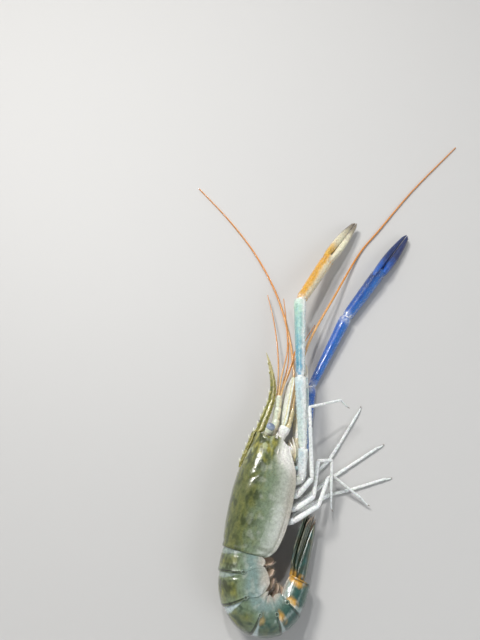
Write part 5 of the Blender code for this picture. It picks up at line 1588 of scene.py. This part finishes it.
def paddle(skin, root, way, flat, right, rows, length, tint, draw, hair_count):
    """A thin blade with a fringe of long hairs round its edge."""
    t, turn = ring_grid(0.0, 0.99, 36, 28)
    wide, thick = flow(rows, 1, t), flow(rows, 2, t)
    centre = root + way * (t * length)[..., None] + flat * (0.6 * np.sin(math.pi * t))[..., None]
    lens = bent(np.sin(turn), 0.7)
    points = centre + right * (wide * np.cos(turn))[..., None] + flat * (thick * lens)[..., None]
    tone = paint(tint, BROWN, 0.25 * hump(0.0, 0.3, np.cos(turn)) + 0.25 * cloud(points, 2.0))
    tone = paint(tone, BROWN, 0.6 * step_between(0.25, 0.0, t))
    skin.hull(points, tone)
    t = draw.uniform(0.3, 1.0, hair_count)
    side = np.where(draw.random(hair_count) < 0.5, 1.0, -1.0)
    wide = flow(rows, 1, np.minimum(t, 0.99))
    roots = root + way * (t * length)[:, None] + right * (side * wide * 0.95)[:, None]
    roots = roots + flat * (0.6 * np.sin(math.pi * t))[:, None]
    long = draw.uniform(1.2, 2.4, hair_count)[:, None]
    lean = step_between(0.3, 1.0, t)[:, None]
    tips = roots + unit(way * (0.5 + lean) + right * side[:, None] * (1.1 - 0.6 * lean)) * long
    skin.hairs(roots, tips, 0.05, tint, PALE_BRISTLE)


def swimmeret(index, side, word):
    """A swimming leg: a stout stem and two paddles, swept along the belly."""
    skin = Skin()
    place, heading, back, right = tail_frames((STARTS[index] + STARTS[index + 1]) / 2)
    belly_depth = min(BELLY_DEPTH, SEGMENTS[index][3] * 0.5)
    root = place - back * (belly_depth + 0.2) + right * side * PADDLE_SIDE
    sweep = math.radians(PADDLE_SWEEPS[index])
    length = PADDLE_LENGTHS[index]
    way = unit(-back * math.cos(sweep) - heading * math.sin(sweep))
    flat = unit(np.cross(way, right))
    right, flat = right * 0.72 + flat * 0.69, flat * 0.72 - right * 0.69
    aside = unit(way + flat * 0.16 + right * side * 0.12)
    draw = np.random.default_rng(200 + index)
    article(skin, root - way * 0.4, root + way * length * 0.3, 2.0, 1.9, SAND, CLOUDY, 0.9, 1.1, 18, 14, 1.15)
    start = root + way * length * 0.24
    paddle(skin, start, way, flat, right, PADDLE_ROWS, length * 0.76, SAND, draw, 260)
    start = start + flat * 0.7
    paddle(skin, start, aside, flat, right, BRANCH_ROWS, length * 0.56, PINK_GREY, draw, 200)
    name = f"swimmeret_{index + 1}_{word}"
    skin.piece(name, "swimmeret", flesh(name), name)


def node(tree, kind, **values):
    made = tree.nodes.new(kind)
    for name, value in values.items():
        if name in made.inputs:
            made.inputs[name].default_value = value
        else:
            setattr(made, name, value)
    return made


def spread(tree, source, low, high, start, end):
    """A node that turns values from low to high into values from start to end."""
    made = node(tree, "ShaderNodeMapRange")
    for name, value in (("From Min", low), ("From Max", high), ("To Min", start), ("To Max", end)):
        made.inputs[name].default_value = value
    tree.links.new(source, made.inputs["Value"])
    return made.outputs["Result"]


def surface(name, roughness, coat, scatter, bump, grain, tone):
    """Painted colour with fine mottling, a grained bump and an uneven gloss."""
    made = bpy.data.materials.new(name)
    made.use_nodes = True
    tree = made.node_tree
    link = tree.links.new
    shader = tree.nodes["Principled BSDF"]
    place = node(tree, "ShaderNodeTexCoord").outputs["Object"]
    paint_node = node(tree, "ShaderNodeAttribute", attribute_name="tint")
    blot = node(tree, "ShaderNodeTexNoise", Scale=grain * 0.3, Detail=6.0, Roughness=0.65)
    link(place, blot.inputs["Vector"])
    fine = node(tree, "ShaderNodeTexNoise", Scale=grain * 1.6, Detail=4.0, Roughness=0.6)
    link(place, fine.inputs["Vector"])
    both = node(tree, "ShaderNodeMath", operation="MULTIPLY")
    link(spread(tree, blot.outputs["Fac"], *BLOT_RANGE, 1 - tone, 1 + tone), both.inputs[0])
    link(spread(tree, fine.outputs["Fac"], *SPECK_RANGE, 1.0, 1 - tone), both.inputs[1])
    scale = node(tree, "ShaderNodeVectorMath", operation="SCALE")
    link(paint_node.outputs["Color"], scale.inputs[0])
    link(both.outputs["Value"], scale.inputs["Scale"])
    link(scale.outputs["Vector"], shader.inputs["Base Color"])
    wet = spread(tree, fine.outputs["Fac"], 0.0, 1.0, roughness * 0.6, roughness * 1.5)
    link(wet, shader.inputs["Roughness"])
    pits = node(tree, "ShaderNodeTexVoronoi", Scale=grain * 1.1)
    link(place, pits.inputs["Vector"])
    mix = node(tree, "ShaderNodeMath", operation="MULTIPLY_ADD")
    link(blot.outputs["Fac"], mix.inputs[0])
    mix.inputs[1].default_value = 1.4
    link(pits.outputs["Distance"], mix.inputs[2])
    relief = node(tree, "ShaderNodeBump", Strength=bump, Distance=BUMP_HEIGHT)
    link(mix.outputs["Value"], relief.inputs["Height"])
    link(relief.outputs["Normal"], shader.inputs["Normal"])
    shader.inputs["Coat Weight"].default_value = coat
    shader.inputs["Coat Roughness"].default_value = COAT_ROUGHNESS
    shader.inputs["Subsurface Weight"].default_value = scatter
    shader.inputs["Subsurface Radius"].default_value = SCATTER_RADIUS
    shader.inputs["Subsurface Scale"].default_value = SCATTER_SCALE
    return made


def shell(name, roughness, bump):
    """Hard, glossy, speckled shell."""
    return surface(name, roughness, coat=0.7, scatter=0.15, bump=bump * 0.6, grain=1900.0, tone=0.22)


def flesh(name):
    """Soft and moist skin."""
    return surface(name, roughness=0.3, coat=0.6, scatter=0.3, bump=0.5, grain=1100.0, tone=0.2)


def camera():
    lens = bpy.data.cameras.new("camera")
    lens.sensor_fit = "VERTICAL"
    lens.sensor_height = FILM_HEIGHT
    lens.lens = LENS
    lens.clip_start = 0.01
    made = bpy.data.objects.new("camera", lens)
    made.location = CAMERA_PLACE
    look = Vector((0.0, math.cos(CAMERA_DROP), -math.sin(CAMERA_DROP)))
    made.rotation_euler = look.to_track_quat("-Z", "Y").to_euler()
    bpy.context.scene.collection.objects.link(made)
    bpy.context.scene.camera = made


def floor():
    """A pale floor that curves up into a pale wall far from the object."""
    turn = np.linspace(0, 2 * math.pi, FLOOR_SIDES + 1)[:-1]
    bend = np.linspace(0, math.pi / 2, 24)
    wall = FLOOR_RADIUS + FLOOR_BEND
    radius = np.concatenate([[0.02, 1.0], FLOOR_RADIUS + FLOOR_BEND * np.sin(bend), [wall]])
    height = np.concatenate([[0.0, 0.0], FLOOR_BEND * (1 - np.cos(bend)), [WALL_TOP]])
    rings = np.stack([
        radius[:, None] * np.cos(turn),
        radius[:, None] * np.sin(turn),
        np.broadcast_to(height[:, None], (len(height), FLOOR_SIDES)),
    ], -1)
    faces = [tuple(range(FLOOR_SIDES))]
    faces += [tuple(face[::-1]) for face in grid_faces(len(height), FLOOR_SIDES, True).tolist()]
    mesh = bpy.data.meshes.new("floor")
    mesh.from_pydata(rings.reshape(-1, 3).tolist(), [], faces)
    mesh.shade_smooth()
    made = bpy.data.objects.new("floor", mesh)
    bpy.context.scene.collection.objects.link(made)
    paper = bpy.data.materials.new("floor_paper")
    paper.use_nodes = True
    tree = paper.node_tree
    shader = tree.nodes["Principled BSDF"]
    shader.inputs["Base Color"].default_value = FLOOR_COLOUR
    shader.inputs["Roughness"].default_value = 0.6
    away = node(tree, "ShaderNodeVectorMath", operation="LENGTH")
    tree.links.new(node(tree, "ShaderNodeTexCoord").outputs["Object"], away.inputs[0])
    glow = spread(tree, away.outputs["Value"], *GLOW_RANGE, 0.0, GLOW_STRENGTH)
    tree.links.new(glow, shader.inputs["Emission Strength"])
    shader.inputs["Emission Color"].default_value = GLOW_COLOUR
    mesh.materials.append(paper)


def lamp(name, place, size, power, tone):
    light = bpy.data.lights.new(name, "AREA")
    light.shape = "DISK"
    light.size = size
    light.energy = power
    light.color = tone
    made = bpy.data.objects.new(name, light)
    made.location = place
    made.rotation_euler = (Vector(LAMP_AIM) - Vector(place)).to_track_quat("-Z", "Y").to_euler()
    bpy.context.scene.collection.objects.link(made)


def studio():
    world = bpy.data.worlds.new("studio")
    world.use_nodes = True
    back = world.node_tree.nodes["Background"]
    back.inputs["Color"].default_value = SKY_COLOUR
    back.inputs["Strength"].default_value = SKY_STRENGTH
    bpy.context.scene.world = world
    bpy.context.scene.view_settings.view_transform = "Standard"
    for name, values in LAMPS.items():
        lamp(name, *values)


def prawn():
    carapace()
    thorax()
    mouthparts()
    rostrum()
    for index in range(6):
        tail_plate(index)
    belly()
    tail_fan()
    for side, word in SIDES:
        eye(side, word)
        antennule(side, word)
        antenna(side, word)
        maxilliped(side, word)
        small_claw_leg(side, word)
        for index in range(5):
            swimmeret(index, side, word)
    walking_legs()
    claw(1, "right", CLAW_RIGHT_BODY, CLAW_RIGHT_WORLD)
    claw(-1, "left", CLAW_LEFT_BODY, CLAW_LEFT_WORLD)


camera()
floor()
studio()
prawn()
